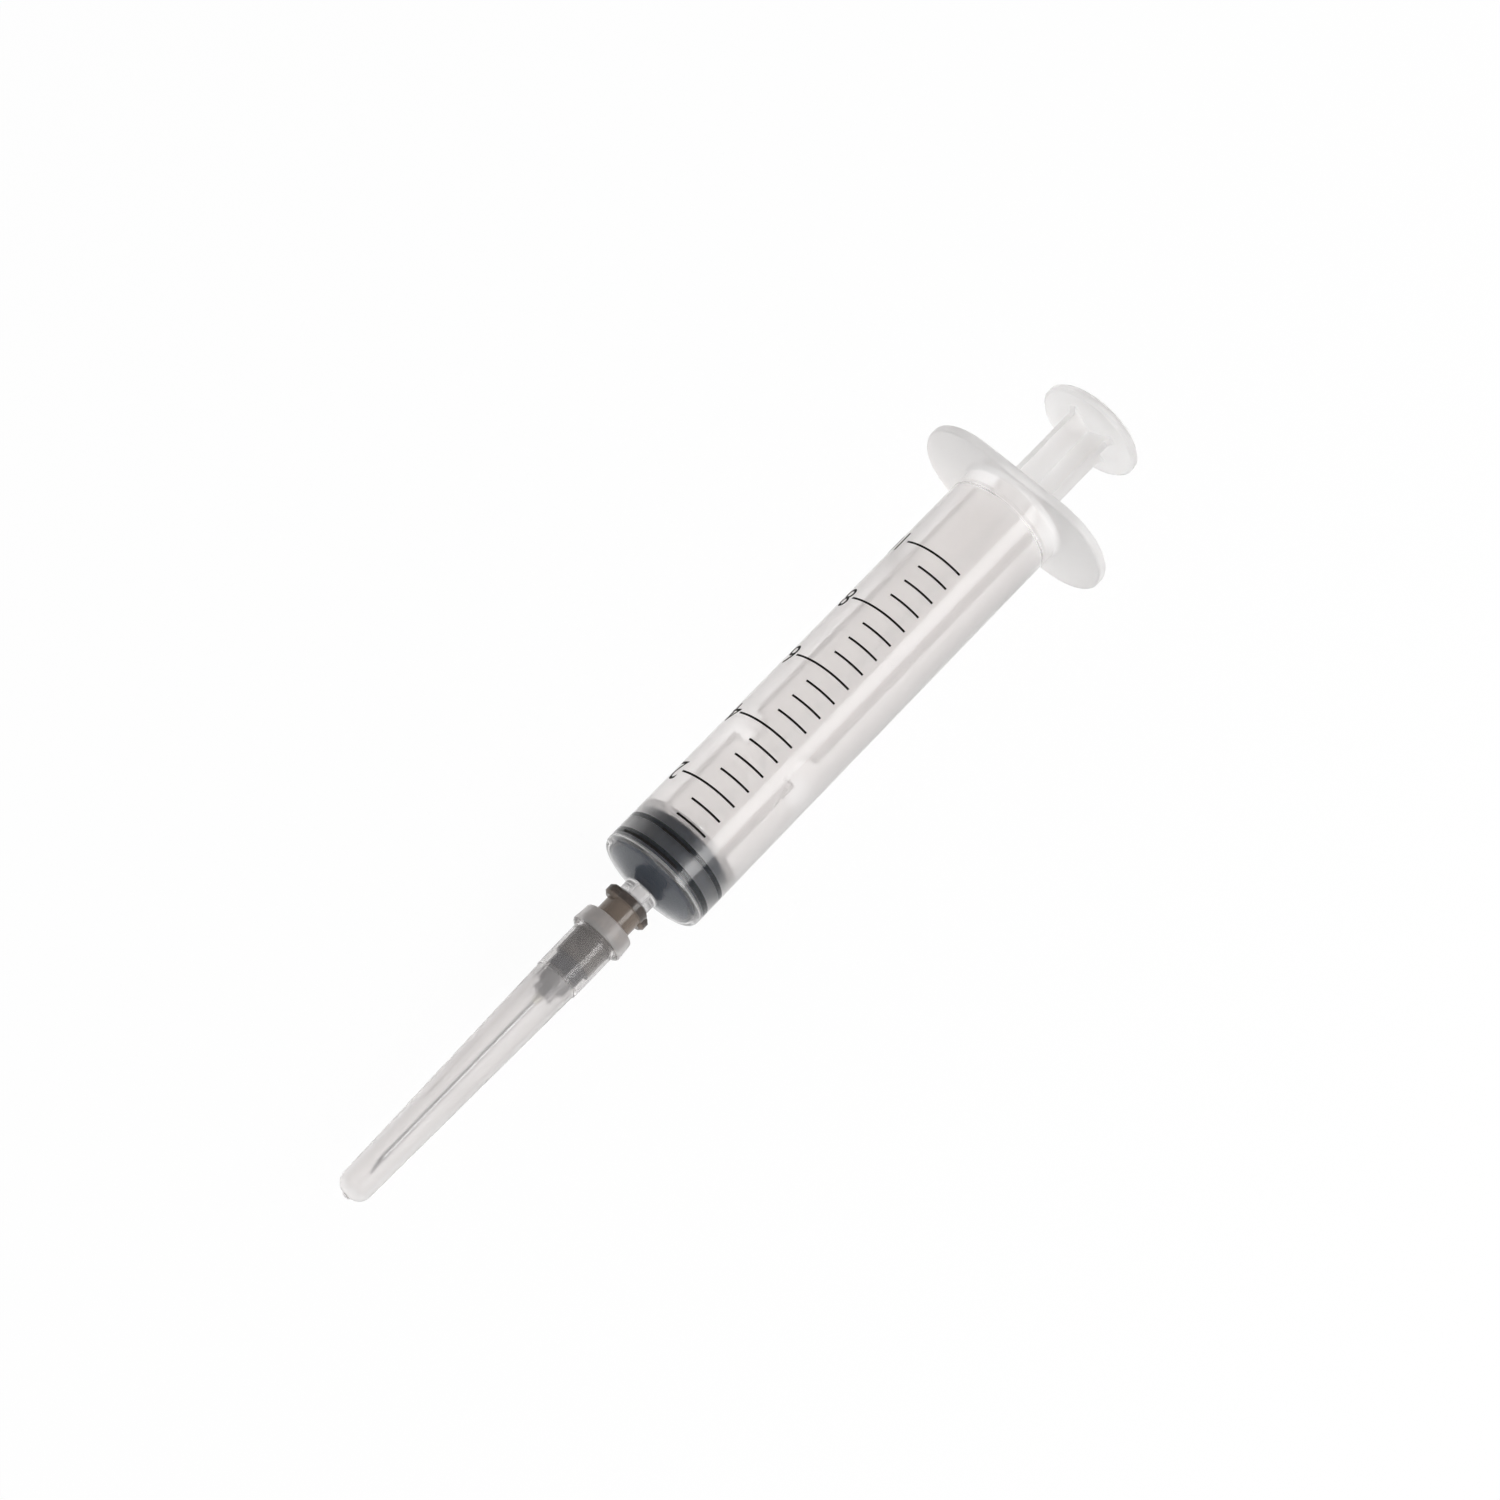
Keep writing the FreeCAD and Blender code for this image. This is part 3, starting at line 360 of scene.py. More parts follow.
class Graph:
    """Node graph of one material, with short ways to add and join nodes."""

    def __init__(self, name: str) -> None:
        """Start an empty graph.

        Args:
            name: Name of the material.
        """
        self.material = bpy.data.materials.new(name)
        self.material.use_nodes = True
        self.tree = self.material.node_tree
        self.tree.nodes.clear()
        self.output = self.tree.nodes.new("ShaderNodeOutputMaterial")

    def add(self, kind: str, sockets: dict[str, object] | None = None, **settings: object) -> bpy.types.Node:
        """Add a node.

        Args:
            kind: Node type without its common prefix.
            sockets: Values of its inputs by name.
            settings: Settings of the node.

        Returns:
            The new node.
        """
        node = self.tree.nodes.new(f"ShaderNode{kind}")
        for name, value in settings.items():
            setattr(node, name, value)
        for name, value in (sockets or {}).items():
            node.inputs[name].default_value = value
        return node

    def join(self, source: bpy.types.NodeSocket, target: bpy.types.NodeSocket) -> None:
        """Link an output to an input."""
        self.tree.links.new(source, target)

    def noise(self, grain: Grain) -> bpy.types.NodeSocket:
        """Noise on the object's own coordinates.

        Args:
            grain: Size, stretch and detail of the noise.

        Returns:
            The output that carries it.
        """
        coordinates = self.add("TexCoord")
        mapping = self.add("Mapping", {"Scale": (1 / grain.stretch, 1.0, 1.0)})
        noise = self.add("TexNoise", {"Scale": 1 / (grain.size * MM), "Detail": grain.detail})
        self.join(coordinates.outputs["Object"], mapping.inputs["Vector"])
        self.join(mapping.outputs["Vector"], noise.inputs["Vector"])
        return noise.outputs["Fac"]

    def spread(self, source: bpy.types.NodeSocket, low: float, high: float) -> bpy.types.NodeSocket:
        """Range of a value that follows a noise.

        Args:
            source: Noise from 0 to 1.
            low: Value where the noise is low.
            high: Value where it is high.

        Returns:
            The output that carries it.
        """
        ends = {"From Min": NOISE_LOW, "From Max": NOISE_HIGH, "To Min": low, "To Max": high}
        spread = self.add("MapRange", ends)
        self.join(source, spread.inputs["Value"])
        return spread.outputs["Result"]

    def blend(self, source: bpy.types.NodeSocket, low: "Colour | bpy.types.NodeSocket",
              high: "Colour | bpy.types.NodeSocket") -> bpy.types.NodeSocket:
        """Colour between two that follows a value from 0 to 1.

        Args:
            source: Value from 0 to 1.
            low: Colour at 0, or the output that carries it.
            high: Colour at 1, or the output that carries it.

        Returns:
            The output that carries it.
        """
        blend = self.add("Mix", data_type="RGBA")
        ends = [socket for socket in blend.inputs if socket.type == "RGBA"]
        for socket, colour in zip(ends, (low, high)):
            if isinstance(colour, bpy.types.NodeSocket):
                self.join(colour, socket)
            else:
                socket.default_value = (*colour, 1.0)
        self.join(source, blend.inputs["Factor"])
        return next(s for s in blend.outputs if s.type == "RGBA")

    def bump(self, source: bpy.types.NodeSocket, grain: Grain) -> bpy.types.NodeSocket:
        """Relief from a noise.

        Args:
            source: Noise from 0 to 1.
            grain: Height and strength of the relief.

        Returns:
            The normal output.
        """
        bump = self.add("Bump", {"Distance": grain.height * MM, "Strength": grain.strength})
        self.join(source, bump.inputs["Height"])
        return bump.outputs["Normal"]

    def mix(self, *sources: bpy.types.NodeSocket) -> bpy.types.NodeSocket:
        """Mix of two shaders.

        Args:
            sources: The second shader's share, then the first and the second shader.

        Returns:
            The output that carries it.
        """
        mix = self.add("MixShader")
        for source, target in zip(sources, mix.inputs):
            self.join(source, target)
        return mix.outputs["Shader"]


MOULDED = Grain(3.0, stretch=4.0, height=0.001, strength=0.25)
POLISHED = Grain(3.0, stretch=4.0)
RUBBERY = Grain(0.35, detail=4.0, fade=0.3, uneven=0.15, height=0.02)
DRAWN = Grain(0.04, stretch=80.0, detail=3.0, fade=0.15, uneven=0.3, height=0.002)
PRINTED = Grain(0.12, detail=3.0, fade=0.35)


@dataclass(frozen=True)
class Finish:
    """Colour and roughness of a surface, and the grain that varies them.

    Args:
        name: Name of its material.
        colour: Colour of the surface, or tint of the light that passes through it.
        roughness: Middle of its roughness.
        grain: Fine unevenness of the surface.
    """

    name: str
    colour: Colour
    roughness: float
    grain: Grain = MOULDED

    def sockets(self) -> dict[str, float]:
        """Values of the shader's other inputs, by name."""
        return {}

    def tint(self, graph: Graph, grain: bpy.types.NodeSocket) -> bpy.types.NodeSocket:
        """Colour that varies a little with the grain.

        Args:
            graph: Graph of the material.
            grain: Output that carries the grain.

        Returns:
            The output that carries the colour.
        """
        return graph.blend(grain, tuple(c * (1 - self.grain.fade) for c in self.colour), self.colour)

    def surface(self, graph: Graph, shader: bpy.types.Node) -> bpy.types.NodeSocket:
        """Shader that the material shows."""
        return shader.outputs["BSDF"]

    def material(self) -> bpy.types.Material:
        """Material of this finish.

        Returns:
            The new material.
        """
        graph = Graph(self.name)
        grain = graph.noise(self.grain)
        shader = graph.add("BsdfPrincipled", self.sockets(), distribution="MULTI_GGX")
        low = self.roughness * (1 - self.grain.uneven)
        high = self.roughness * (1 + self.grain.uneven)
        graph.join(self.tint(graph, grain), shader.inputs["Base Color"])
        graph.join(graph.spread(grain, low, high), shader.inputs["Roughness"])
        if self.grain.height:
            graph.join(graph.bump(grain, self.grain), shader.inputs["Normal"])
        graph.join(self.surface(graph, shader), graph.output.inputs["Surface"])
        return graph.material


@dataclass(frozen=True)
class Plastic(Finish):
    """Moulded plastic that lets light through, and the lamps' light straight through.

    Args:
        clearness: Share of light that passes rather than scatters.
        index: Index of refraction.
    """

    clearness: float = 1.0
    index: float = 1.49

    def sockets(self) -> dict[str, float]:
        """Values of the shader's other inputs, by name."""
        return {"IOR": self.index, "Transmission Weight": self.clearness}

    def surface(self, graph: Graph, shader: bpy.types.Node) -> bpy.types.NodeSocket:
        """Shader that the material shows, clear and tinted for rays towards a lamp.

        Args:
            graph: Graph of the material.
            shader: Its Principled shader.

        Returns:
            The output that carries it.
        """
        passing = graph.add("BsdfTransparent", {"Color": (*self.colour, 1.0)})
        path = graph.add("LightPath")
        return graph.mix(path.outputs["Is Shadow Ray"], shader.outputs["BSDF"], passing.outputs["BSDF"])


@dataclass(frozen=True)
class BandedPlastic(Plastic):
    """Smoky plastic whose tint changes along the piece.

    Args:
        bands: Stretches in order, each with its distance from the mouth in millimetres and its tint, with
            painted shade among them where another piece covers this one.
        mouth: Place of the piece's mouth along the frame's X axis, in metres.
        blur: Length over which a tint turns into the next, in millimetres.
    """

    bands: tuple[tuple[float, Colour], ...] = ()
    mouth: float = 0.0
    blur: float = 0.1

    def tint(self, graph: Graph, grain: bpy.types.NodeSocket) -> bpy.types.NodeSocket:
        """Colour by the place along the piece.

        Args:
            graph: Graph of the material.
            grain: Output that carries the grain.

        Returns:
            The output that carries the colour.
        """
        coordinates = graph.add("TexCoord")
        split = graph.add("SeparateXYZ")
        graph.join(coordinates.outputs["Object"], split.inputs["Vector"])
        tint = super().tint(graph, grain)
        for distance, colour in self.bands:
            start = self.mouth - distance * MM
            reach = graph.add("MapRange", {"From Min": start + self.blur * MM, "From Max": start})
            graph.join(split.outputs["X"], reach.inputs["Value"])
            tint = graph.blend(reach.outputs["Result"], tint, colour)
        return tint


@dataclass(frozen=True)
class Rubber(Finish):
    """Smooth moulded elastomer, wet with silicone where it has a film.

    Args:
        film: Share of silicone film on it.
        film_roughness: Roughness of the film.
        gloss: Level of the elastomer's own reflection.
    """

    grain: Grain = RUBBERY
    film: float = 0.0
    film_roughness: float = 0.12
    gloss: float = 0.0

    def sockets(self) -> dict[str, float]:
        """Values of the shader's other inputs, by name."""
        return {"Coat Weight": self.film, "Coat Roughness": self.film_roughness,
                "Specular IOR Level": self.gloss}


@dataclass(frozen=True)
class Steel(Finish):
    """Drawn and polished stainless steel, with fine lines along the tube."""

    grain: Grain = DRAWN

    def sockets(self) -> dict[str, float]:
        """Values of the shader's other inputs, by name."""
        return {"Metallic": 1.0}


@dataclass(frozen=True)
class Ink(Finish):
    """Printing ink on plastic, a little uneven as a screen leaves it.

    Args:
        gloss: Level of its reflection.
    """

    grain: Grain = PRINTED
    gloss: float = 0.1

    def sockets(self) -> dict[str, float]:
        """Values of the shader's other inputs, by name."""
        return {"Specular IOR Level": self.gloss}


BARREL_TINT = (0.997, 0.984, 0.979)
FLANGE_TINT = (0.91, 0.90, 0.895)
CAP_TINT = (0.855, 0.84, 0.834)
COLLAR_TINT = (0.70, 0.675, 0.665)
NOZZLE_TINT = (0.71, 0.70, 0.70)
ROD_TINT = (0.875, 0.865, 0.86)
BARREL_FINISHES = {
    Skin.OUTER: Plastic("barrel_plastic_outside", BARREL_TINT, 0.14, clearness=0.998),
    Skin.INNER: Plastic("barrel_plastic_bore", BARREL_TINT, 0.42, clearness=0.996, index=1.3),
    Skin.THICK: Plastic("barrel_plastic_flange", FLANGE_TINT, 0.40, clearness=0.60),
    Skin.CLEAR: Plastic("barrel_plastic_front", BARREL_TINT, 0.18, clearness=0.99, index=1.22),
    Skin.MILKY: Plastic("barrel_plastic_nozzle", NOZZLE_TINT, 0.18, POLISHED, clearness=0.80, index=1.36),
}
CAP_FINISHES = {
    Skin.OUTER: Plastic("cap_plastic_outside", CAP_TINT, 0.34, clearness=0.84, index=1.28),
    Skin.INNER: Plastic("cap_plastic_bore", CAP_TINT, 0.28, clearness=0.93, index=1.15),
    Skin.THICK: Plastic("cap_plastic_collar", COLLAR_TINT, 0.34, clearness=0.70, index=1.4),
    Skin.CLEAR: Plastic("cap_plastic_seat", CAP_TINT, 0.10, POLISHED, clearness=0.98, index=1.15),
    Skin.MILKY: Plastic("cap_plastic_open", CAP_TINT, 0.18, clearness=0.92, index=1.28),
}
STOPPER_FINISHES = {
    Skin.OUTER: Rubber("stopper_rubber_wet", (0.004, 0.009, 0.018), 0.30, film=0.25, gloss=0.3),
    Skin.PRESSED: Rubber("stopper_rubber_pressed", (0.003, 0.005, 0.009), 0.5),
    # Painted light: the nose is the same rubber as the rest, painted much lighter and bluer for the light
    # that reaches it through the front cone
    Skin.FACING: Rubber("stopper_rubber_nose_painted_light", (0.048, 0.062, 0.085), 0.5, gloss=0.05),
}
# Distances in millimetres from the hub's mouth to the ends of its rim, open stretch, seat and step
HUB_RIM_END = 1.35
HUB_OPEN_END = 6.2
HUB_SEAT_END = 11.8
HUB_STEP_END = 14.1
# Tint beyond each place: the hub's own smoky brown on the open stretch, then painted shade inside the cap,
# darker on the seat and darkest and bluest on the step; the thick rim keeps the darker base tint
HUB_TINTS_AND_PAINTED_SHADE = (
    (HUB_RIM_END, (0.26, 0.205, 0.165)),
    (HUB_OPEN_END, (0.15, 0.135, 0.125)),
    (HUB_SEAT_END, (0.09, 0.09, 0.10)),
    (HUB_STEP_END, (0.12, 0.115, 0.12)),
)
HUB_PLASTIC = BandedPlastic("hub_plastic_smoky_painted_shade", (0.09, 0.07, 0.06), 0.16, POLISHED, clearness=0.55,
                            bands=HUB_TINTS_AND_PAINTED_SHADE, mouth=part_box("needle_hub")[1].x)
ROD_PLASTIC = Plastic("rod_plastic_natural", ROD_TINT, 0.50, clearness=0.93, index=1.25)
GLUE = Plastic("cured_glue_clear", (0.86, 0.85, 0.8), 0.1, clearness=0.8)
NEEDLE_STEEL = Steel("needle_steel_drawn", (0.62, 0.63, 0.64), 0.24)
SCALE_INK = Ink("scale_ink_black", (0.010, 0.008, 0.007), 0.6)


@dataclass
class Barrel:
    """Barrel in one moulding: nozzle, front cone, graduated tube, stop ring and finger flange."""

    nozzle_end_radius: float = 1.965
    luer_taper: float = 0.03
    nozzle_length: float = 7.8
    nozzle_bore: float = 1.0
    nozzle_rim_round: float = 0.15
    channel_round: float = 0.2
    root_collar_x: float = 5.917
    root_collar_radius: float = 2.52
    root_collar_round: float = 0.12
    nozzle_root_round: float = 0.35
    bore: float = 7.4
    wall: float = 0.9
    front_angle: float = 15.6
    front_wall: float = 1.3
    shoulder_round: float = 0.9
    front_corner_round: float = 0.5
    length: float = 78.9
    flange_thickness: float = 1.5
    flange_half_length: float = 15.9
    flange_half_width: float = 9.5
    flange_tip_flat: float = 0.4
    flange_edge_round: float = 0.35
    flange_root_round: float = 0.8
    ring_inset: float = 3.8
    ring_width: float = 0.9
    ring_height: float = 0.3
    ring_foot_round: float = 0.15
    ring_round: float = 0.3
    mouth_bevel: float = 0.45
    mouth_round: float = 0.3
    front_slack: float = 0.25
    clear_inset: float = 0.2
    milky_width: float = 0.75
    milky_length: float = 0.3
    end: float = field(init=False)
    outer: float = field(init=False)
    rise: float = field(init=False)
    inner_front_x: float = field(init=False)
    inner_corner_x: float = field(init=False)

    def __post_init__(self) -> None:
        """Work out what follows from the sizes."""
        self.end = self.nozzle_length + self.length
        self.outer = self.bore + self.wall
        self.rise = math.tan(math.radians(self.front_angle))
        self.inner_front_x = (self.nozzle_length + self.front_wall
                              - (self.root_collar_radius - self.nozzle_bore) * self.rise)
        self.inner_corner_x = self.inner_front_x + (self.bore - self.nozzle_bore) * self.rise

    def outline(self) -> list[Corner]:
        """Section of the tube and nozzle.

        Returns:
            Corners from the nozzle's channel along the bore, and back along the outside.
        """
        ring_back = self.end - self.ring_inset
        ring_front = ring_back - self.ring_width
        flange_front = self.end - self.flange_thickness
        shoulder_x = self.nozzle_length + (self.outer - self.root_collar_radius) * self.rise
        root_radius = self.nozzle_end_radius + self.luer_taper * self.root_collar_x
        return [
            Corner(0, self.nozzle_bore),
            Corner(self.inner_front_x, self.nozzle_bore, self.channel_round),
            Corner(self.inner_corner_x, self.bore, self.front_corner_round),
            Corner(ring_front, self.bore, self.ring_foot_round),
            Corner(ring_front + self.ring_width / 2, self.bore - self.ring_height, self.ring_round),
            Corner(ring_back, self.bore, self.ring_foot_round),
            Corner(self.end - self.mouth_bevel, self.bore, self.mouth_round),
            Corner(self.end, self.bore + self.mouth_bevel),
            Corner(self.end, self.flange_half_width, self.flange_edge_round),
            Corner(flange_front, self.flange_half_width, self.flange_edge_round),
            Corner(flange_front, self.outer, self.flange_root_round),
            Corner(shoulder_x, self.outer, self.shoulder_round),
            Corner(self.nozzle_length, self.root_collar_radius, self.nozzle_root_round),
            Corner(self.root_collar_x, self.root_collar_radius, self.root_collar_round),
            Corner(self.root_collar_x, root_radius),
            Corner(0, self.nozzle_end_radius, self.nozzle_rim_round),
        ]

    def skin_at(self, along: float, radius: float) -> Skin:
        """Skin of a face of the barrel.

        Args:
            along: Place along the axis in millimetres.
            radius: Distance from the axis in millimetres.

        Returns:
            The milky skin on the nozzle and in the front corner, the clear one inside the front cone,
            the inner one in the bore and channel, the thick one on the flange, or the outer one.
        """
        front_x = self.inner_front_x + (radius - self.nozzle_bore) * self.rise - self.front_slack
        in_bore = radius < self.bore + SKIN_SLACK and front_x < along < self.end - self.mouth_bevel
        in_corner = radius > self.bore - self.milky_width and along < self.inner_corner_x + self.milky_length
        in_channel = radius < self.nozzle_bore + SKIN_SLACK
        if in_bore and in_corner or along < self.nozzle_length and not in_channel:
            return Skin.MILKY
        if in_bore and radius < self.bore - self.ring_height - self.clear_inset:
            return Skin.CLEAR
        if in_bore or in_channel:
            return Skin.INNER
        flange_front = self.end - self.flange_thickness
        return Skin.THICK if along > flange_front - self.flange_root_round else Skin.OUTER

    def on_rim(self, spot: Vector) -> bool:
        """Whether a point of the turned barrel is on the flange's round rim.

        Args:
            spot: Point of the piece that is still drawn along X, in metres.

        Returns:
            True on the rim.
        """
        front = (self.end - self.flange_thickness - self.flange_root_round / 2) * MM
        rim = (self.flange_half_width - self.flange_edge_round - EDGE_SLACK) * MM
        return spot.x > front and math.hypot(spot.y, spot.z) > rim

    def spread_flange(self, piece: bpy.types.Object) -> None:
        """Spread the round rim of the flange into its two wings.

        Args:
            piece: Turned barrel, still drawn along X, with a round flange.
        """
        corner = self.flange_half_width - self.flange_tip_flat
        shrink = corner / self.flange_half_width
        pick(piece)
        bpy.ops.object.mode_set(mode="EDIT")
        mesh = bmesh.from_edit_mesh(piece.data)
        chosen = [vertex for vertex in mesh.verts if self.on_rim(vertex.co)]
        sides = [tuple(math.copysign(abs(c) > SAME_PLACE, c) for c in v.co[1:]) for v in chosen]
        select_only(piece, mesh, chosen)
        bpy.ops.transform.resize(value=(1, shrink, shrink), center_override=(0, 0, 0))
        shifts = (self.flange_half_length - corner, self.flange_tip_flat)
        for across, shift in enumerate(shifts):
            for side in (1, -1):
                wing = [vertex for vertex, signs in zip(chosen, sides) if signs[across] == side]
                select_only(piece, mesh, wing)
                move = [0.0, 0.0, 0.0]
                move[across + 1] = side * shift * MM
                bpy.ops.transform.translate(value=move)
        bpy.ops.object.mode_set(mode="OBJECT")

    def build(self, axis: Axis) -> None:
        """Model the barrel and dress it.

        Args:
            axis: Where it lies.
        """
        piece = turned("barrel_shell", self.outline())
        self.spread_flange(piece)
        part_skins(piece, BARREL_FINISHES, self.skin_at)
        settle(piece, axis, Body.BARREL, "barrel")


@dataclass
class ScalePrint:
    """Printed scale: a line for each half millilitre, and a number for every second millilitre.

    Its angles are in degrees round the barrel from the top, and grow towards -Y.
    """

    barrel_radius: float
    zero_x: float = 11.17
    per_ml: float = 5.8136
    volume: int = 10
    line_width: float = 0.33
    lift: float = 0.016
    film: float = 0.012
    line_start: float = 21.0
    short_end: float = -14.5
    long_end: float = -49.0
    number_start: float = -50.5
    number_height: float = 3.5
    number_every: int = 2
    glyph_share: float = 0.7
    curve_steps: int = 4
    cut_step: float = 0.35
    unit_offset: float = 2.4
    line_step: float = 2.5

    def add_line(self, along: float, end: float) -> None:
        """Draw one line round the barrel in the mesh in edit mode.

        Args:
            along: Place of its middle in millimetres.
            end: Angle at its far end in degrees.
        """
        radius = self.barrel_radius + self.lift
        start = math.radians(self.line_start)
        sweep = math.radians(self.line_start - end)
        first = Vector((along - self.line_width / 2, -radius * math.sin(start), radius * math.cos(start)))
        start_point(first * MM)
        bpy.ops.mesh.extrude_region_move(TRANSFORM_OT_translate={"value": (self.line_width * MM, 0, 0)})
        bpy.ops.mesh.select_linked()
        bpy.ops.mesh.spin(steps=math.ceil(math.degrees(sweep) / self.line_step), angle=sweep,
                          center=(0, 0, 0), axis=(1, 0, 0))

    def lines(self) -> bpy.types.Object:
        """All lines of the scale in one mesh.

        Returns:
            The lines, still drawn along X.
        """
        bpy.ops.object.select_all(action="DESELECT")
        bpy.ops.mesh.primitive_plane_add(size=MM, location=(0, 0, 0))
        piece = bpy.context.object
        piece.name = piece.data.name = "scale_print"
        bpy.ops.object.mode_set(mode="EDIT")
        bpy.ops.mesh.select_all(action="SELECT")
        bpy.ops.mesh.delete(type="VERT")
        for half in range(2 * self.volume + 1):
            long = half % (2 * self.number_every) == 0
            self.add_line(self.zero_x + self.per_ml * half / 2, self.long_end if long else self.short_end)
        bpy.ops.mesh.select_all(action="SELECT")
        bpy.ops.mesh.remove_doubles(threshold=SAME_PLACE)
        bpy.ops.object.mode_set(mode="OBJECT")
        return piece

    def text(self, words: str, along: float, start: float) -> bpy.types.Object:
        """Word or number that reads round the barrel.

        Args:
            words: Characters to print.
            along: Place of its middle along the axis in millimetres.
            start: Angle in degrees where it starts.

        Returns:
            A mesh on the barrel's surface, still drawn along X.
        """
        bpy.ops.object.select_all(action="DESELECT")
        bpy.ops.object.text_add(location=(0, 0, 0))
        piece = bpy.context.object
        piece.data.body = words
        piece.data.size = self.number_height / self.glyph_share
        piece.data.resolution_u = self.curve_steps
        bpy.ops.object.convert(target="MESH")
        bpy.ops.object.mode_set(mode="EDIT")
        for k in range(1, math.ceil(piece.dimensions.x / self.cut_step)):
            bpy.ops.mesh.select_all(action="SELECT")
            bpy.ops.mesh.bisect(plane_co=(k * self.cut_step, 0, 0), plane_no=(1, 0, 0))
        bpy.ops.object.mode_set(mode="OBJECT")
        radius = self.barrel_radius + self.lift
        for vertex in piece.data.vertices:
            across, up, _ = vertex.co
            angle = math.radians(start) - across / radius
            spot = Vector((along - up + self.number_height / 2, -radius * math.sin(angle),
                           radius * math.cos(angle)))
            vertex.co = spot * MM
        return piece

    def build(self, axis: Axis) -> None:
        """Model the print and dress it.

        Args:
            axis: Where the barrel lies.
        """
        piece = self.lines()
        words = []
        for millilitres in range(self.number_every, self.volume + 1, self.number_every):
            along = self.zero_x + self.per_ml * millilitres
            words.append(self.text(str(millilitres), along, self.number_start))
        last_x = self.zero_x + self.per_ml * self.volume
        reach = math.degrees(self.unit_offset * self.number_height / self.barrel_radius)
        words.append(self.text("mL", last_x, self.number_start - reach))
        pick(*words, piece)
        bpy.ops.object.join()
        modifier = piece.modifiers.new("film", "SOLIDIFY")
        modifier.thickness = self.film * MM
        modifier.offset = 0.0
        bpy.ops.object.modifier_apply(modifier=modifier.name)
        coat(piece, SCALE_INK)
        settle(piece, axis, Body.BARREL)


@dataclass
class Stopper:
    """Elastomer stopper with a conical nose, two sealing ribs and a pocket for the rod's head."""

    at: float = 9.115
    length: float = 7.75
    tip_radius: float = 1.5
    nose_length: float = 1.438
    nose_radius: float = 6.65
    rib_radius: float = 7.42
    waist_radius: float = 6.6
    skirt_radius: float = 6.4
    first_rib: tuple[float, float] = (1.968, 3.018)
    second_rib: tuple[float, float] = (5.018, 5.868)
    rib_slope: float = 0.06
    pocket_front: float = 3.93
    pocket_radius: float = 3.06
    lip_front: float = 6.45
    lip_radius: float = 2.06
    tip_round: float = 0.3
    nose_round: float = 0.5
    foot_round: float = 0.12
    crest_round: float = 0.06
    waist_round: float = 0.25
    skirt_round: float = 0.4
    lip_round: float = 0.2

    def crest(self, front: float, back: float) -> list[Corner]:
        """Crest of the sealing rib that stands between these two places."""
        edges = (front + self.rib_slope, back - self.rib_slope)
        return [Corner(edge, self.rib_radius, self.crest_round) for edge in edges]

    def outline(self) -> list[Corner]:
        """Section of the stopper.

        Returns:
            Corners from the nose along the outside, and back along the pocket.
        """
        front, back = self.first_rib, self.second_rib
        corners = [
            Corner(0, 0),
            Corner(0, self.tip_radius, self.tip_round),
            Corner(self.nose_length, self.nose_radius, self.nose_round),
            Corner(front[0], self.nose_radius, self.foot_round),
            *self.crest(*front),
            Corner(front[1], self.waist_radius, self.waist_round),
            Corner(back[0], self.waist_radius, self.waist_round),
            *self.crest(*back),
            Corner(back[1], self.skirt_radius, self.waist_round),
            Corner(self.length, self.skirt_radius, self.skirt_round),
            Corner(self.length, self.lip_radius, self.lip_round),
            Corner(self.lip_front, self.lip_radius),
            Corner(self.lip_front, self.pocket_radius),
            Corner(self.pocket_front, self.pocket_radius),
            Corner(self.pocket_front, 0),
        ]
        return shifted(corners, self.at)

    def skin_at(self, along: float, radius: float) -> Skin:
        """Skin of a face of the stopper.

        Args:
            along: Place along the axis in millimetres.
            radius: Distance from the axis in millimetres.

        Returns:
            The nose skin with painted light, the pressed one on the ribs, or the wet one.
        """
        if along - self.at < self.nose_length:
            return Skin.FACING
        return Skin.PRESSED if radius > self.rib_radius - SKIN_SLACK else Skin.OUTER

    def build(self, axis: Axis) -> None:
        """Model the stopper and dress it.

        Args:
            axis: Where it lies.
        """
        piece = turned("stopper_rubber", self.outline())
        part_skins(piece, STOPPER_FINISHES, self.skin_at)
        settle(piece, axis, Body.STOPPER, "stopper")


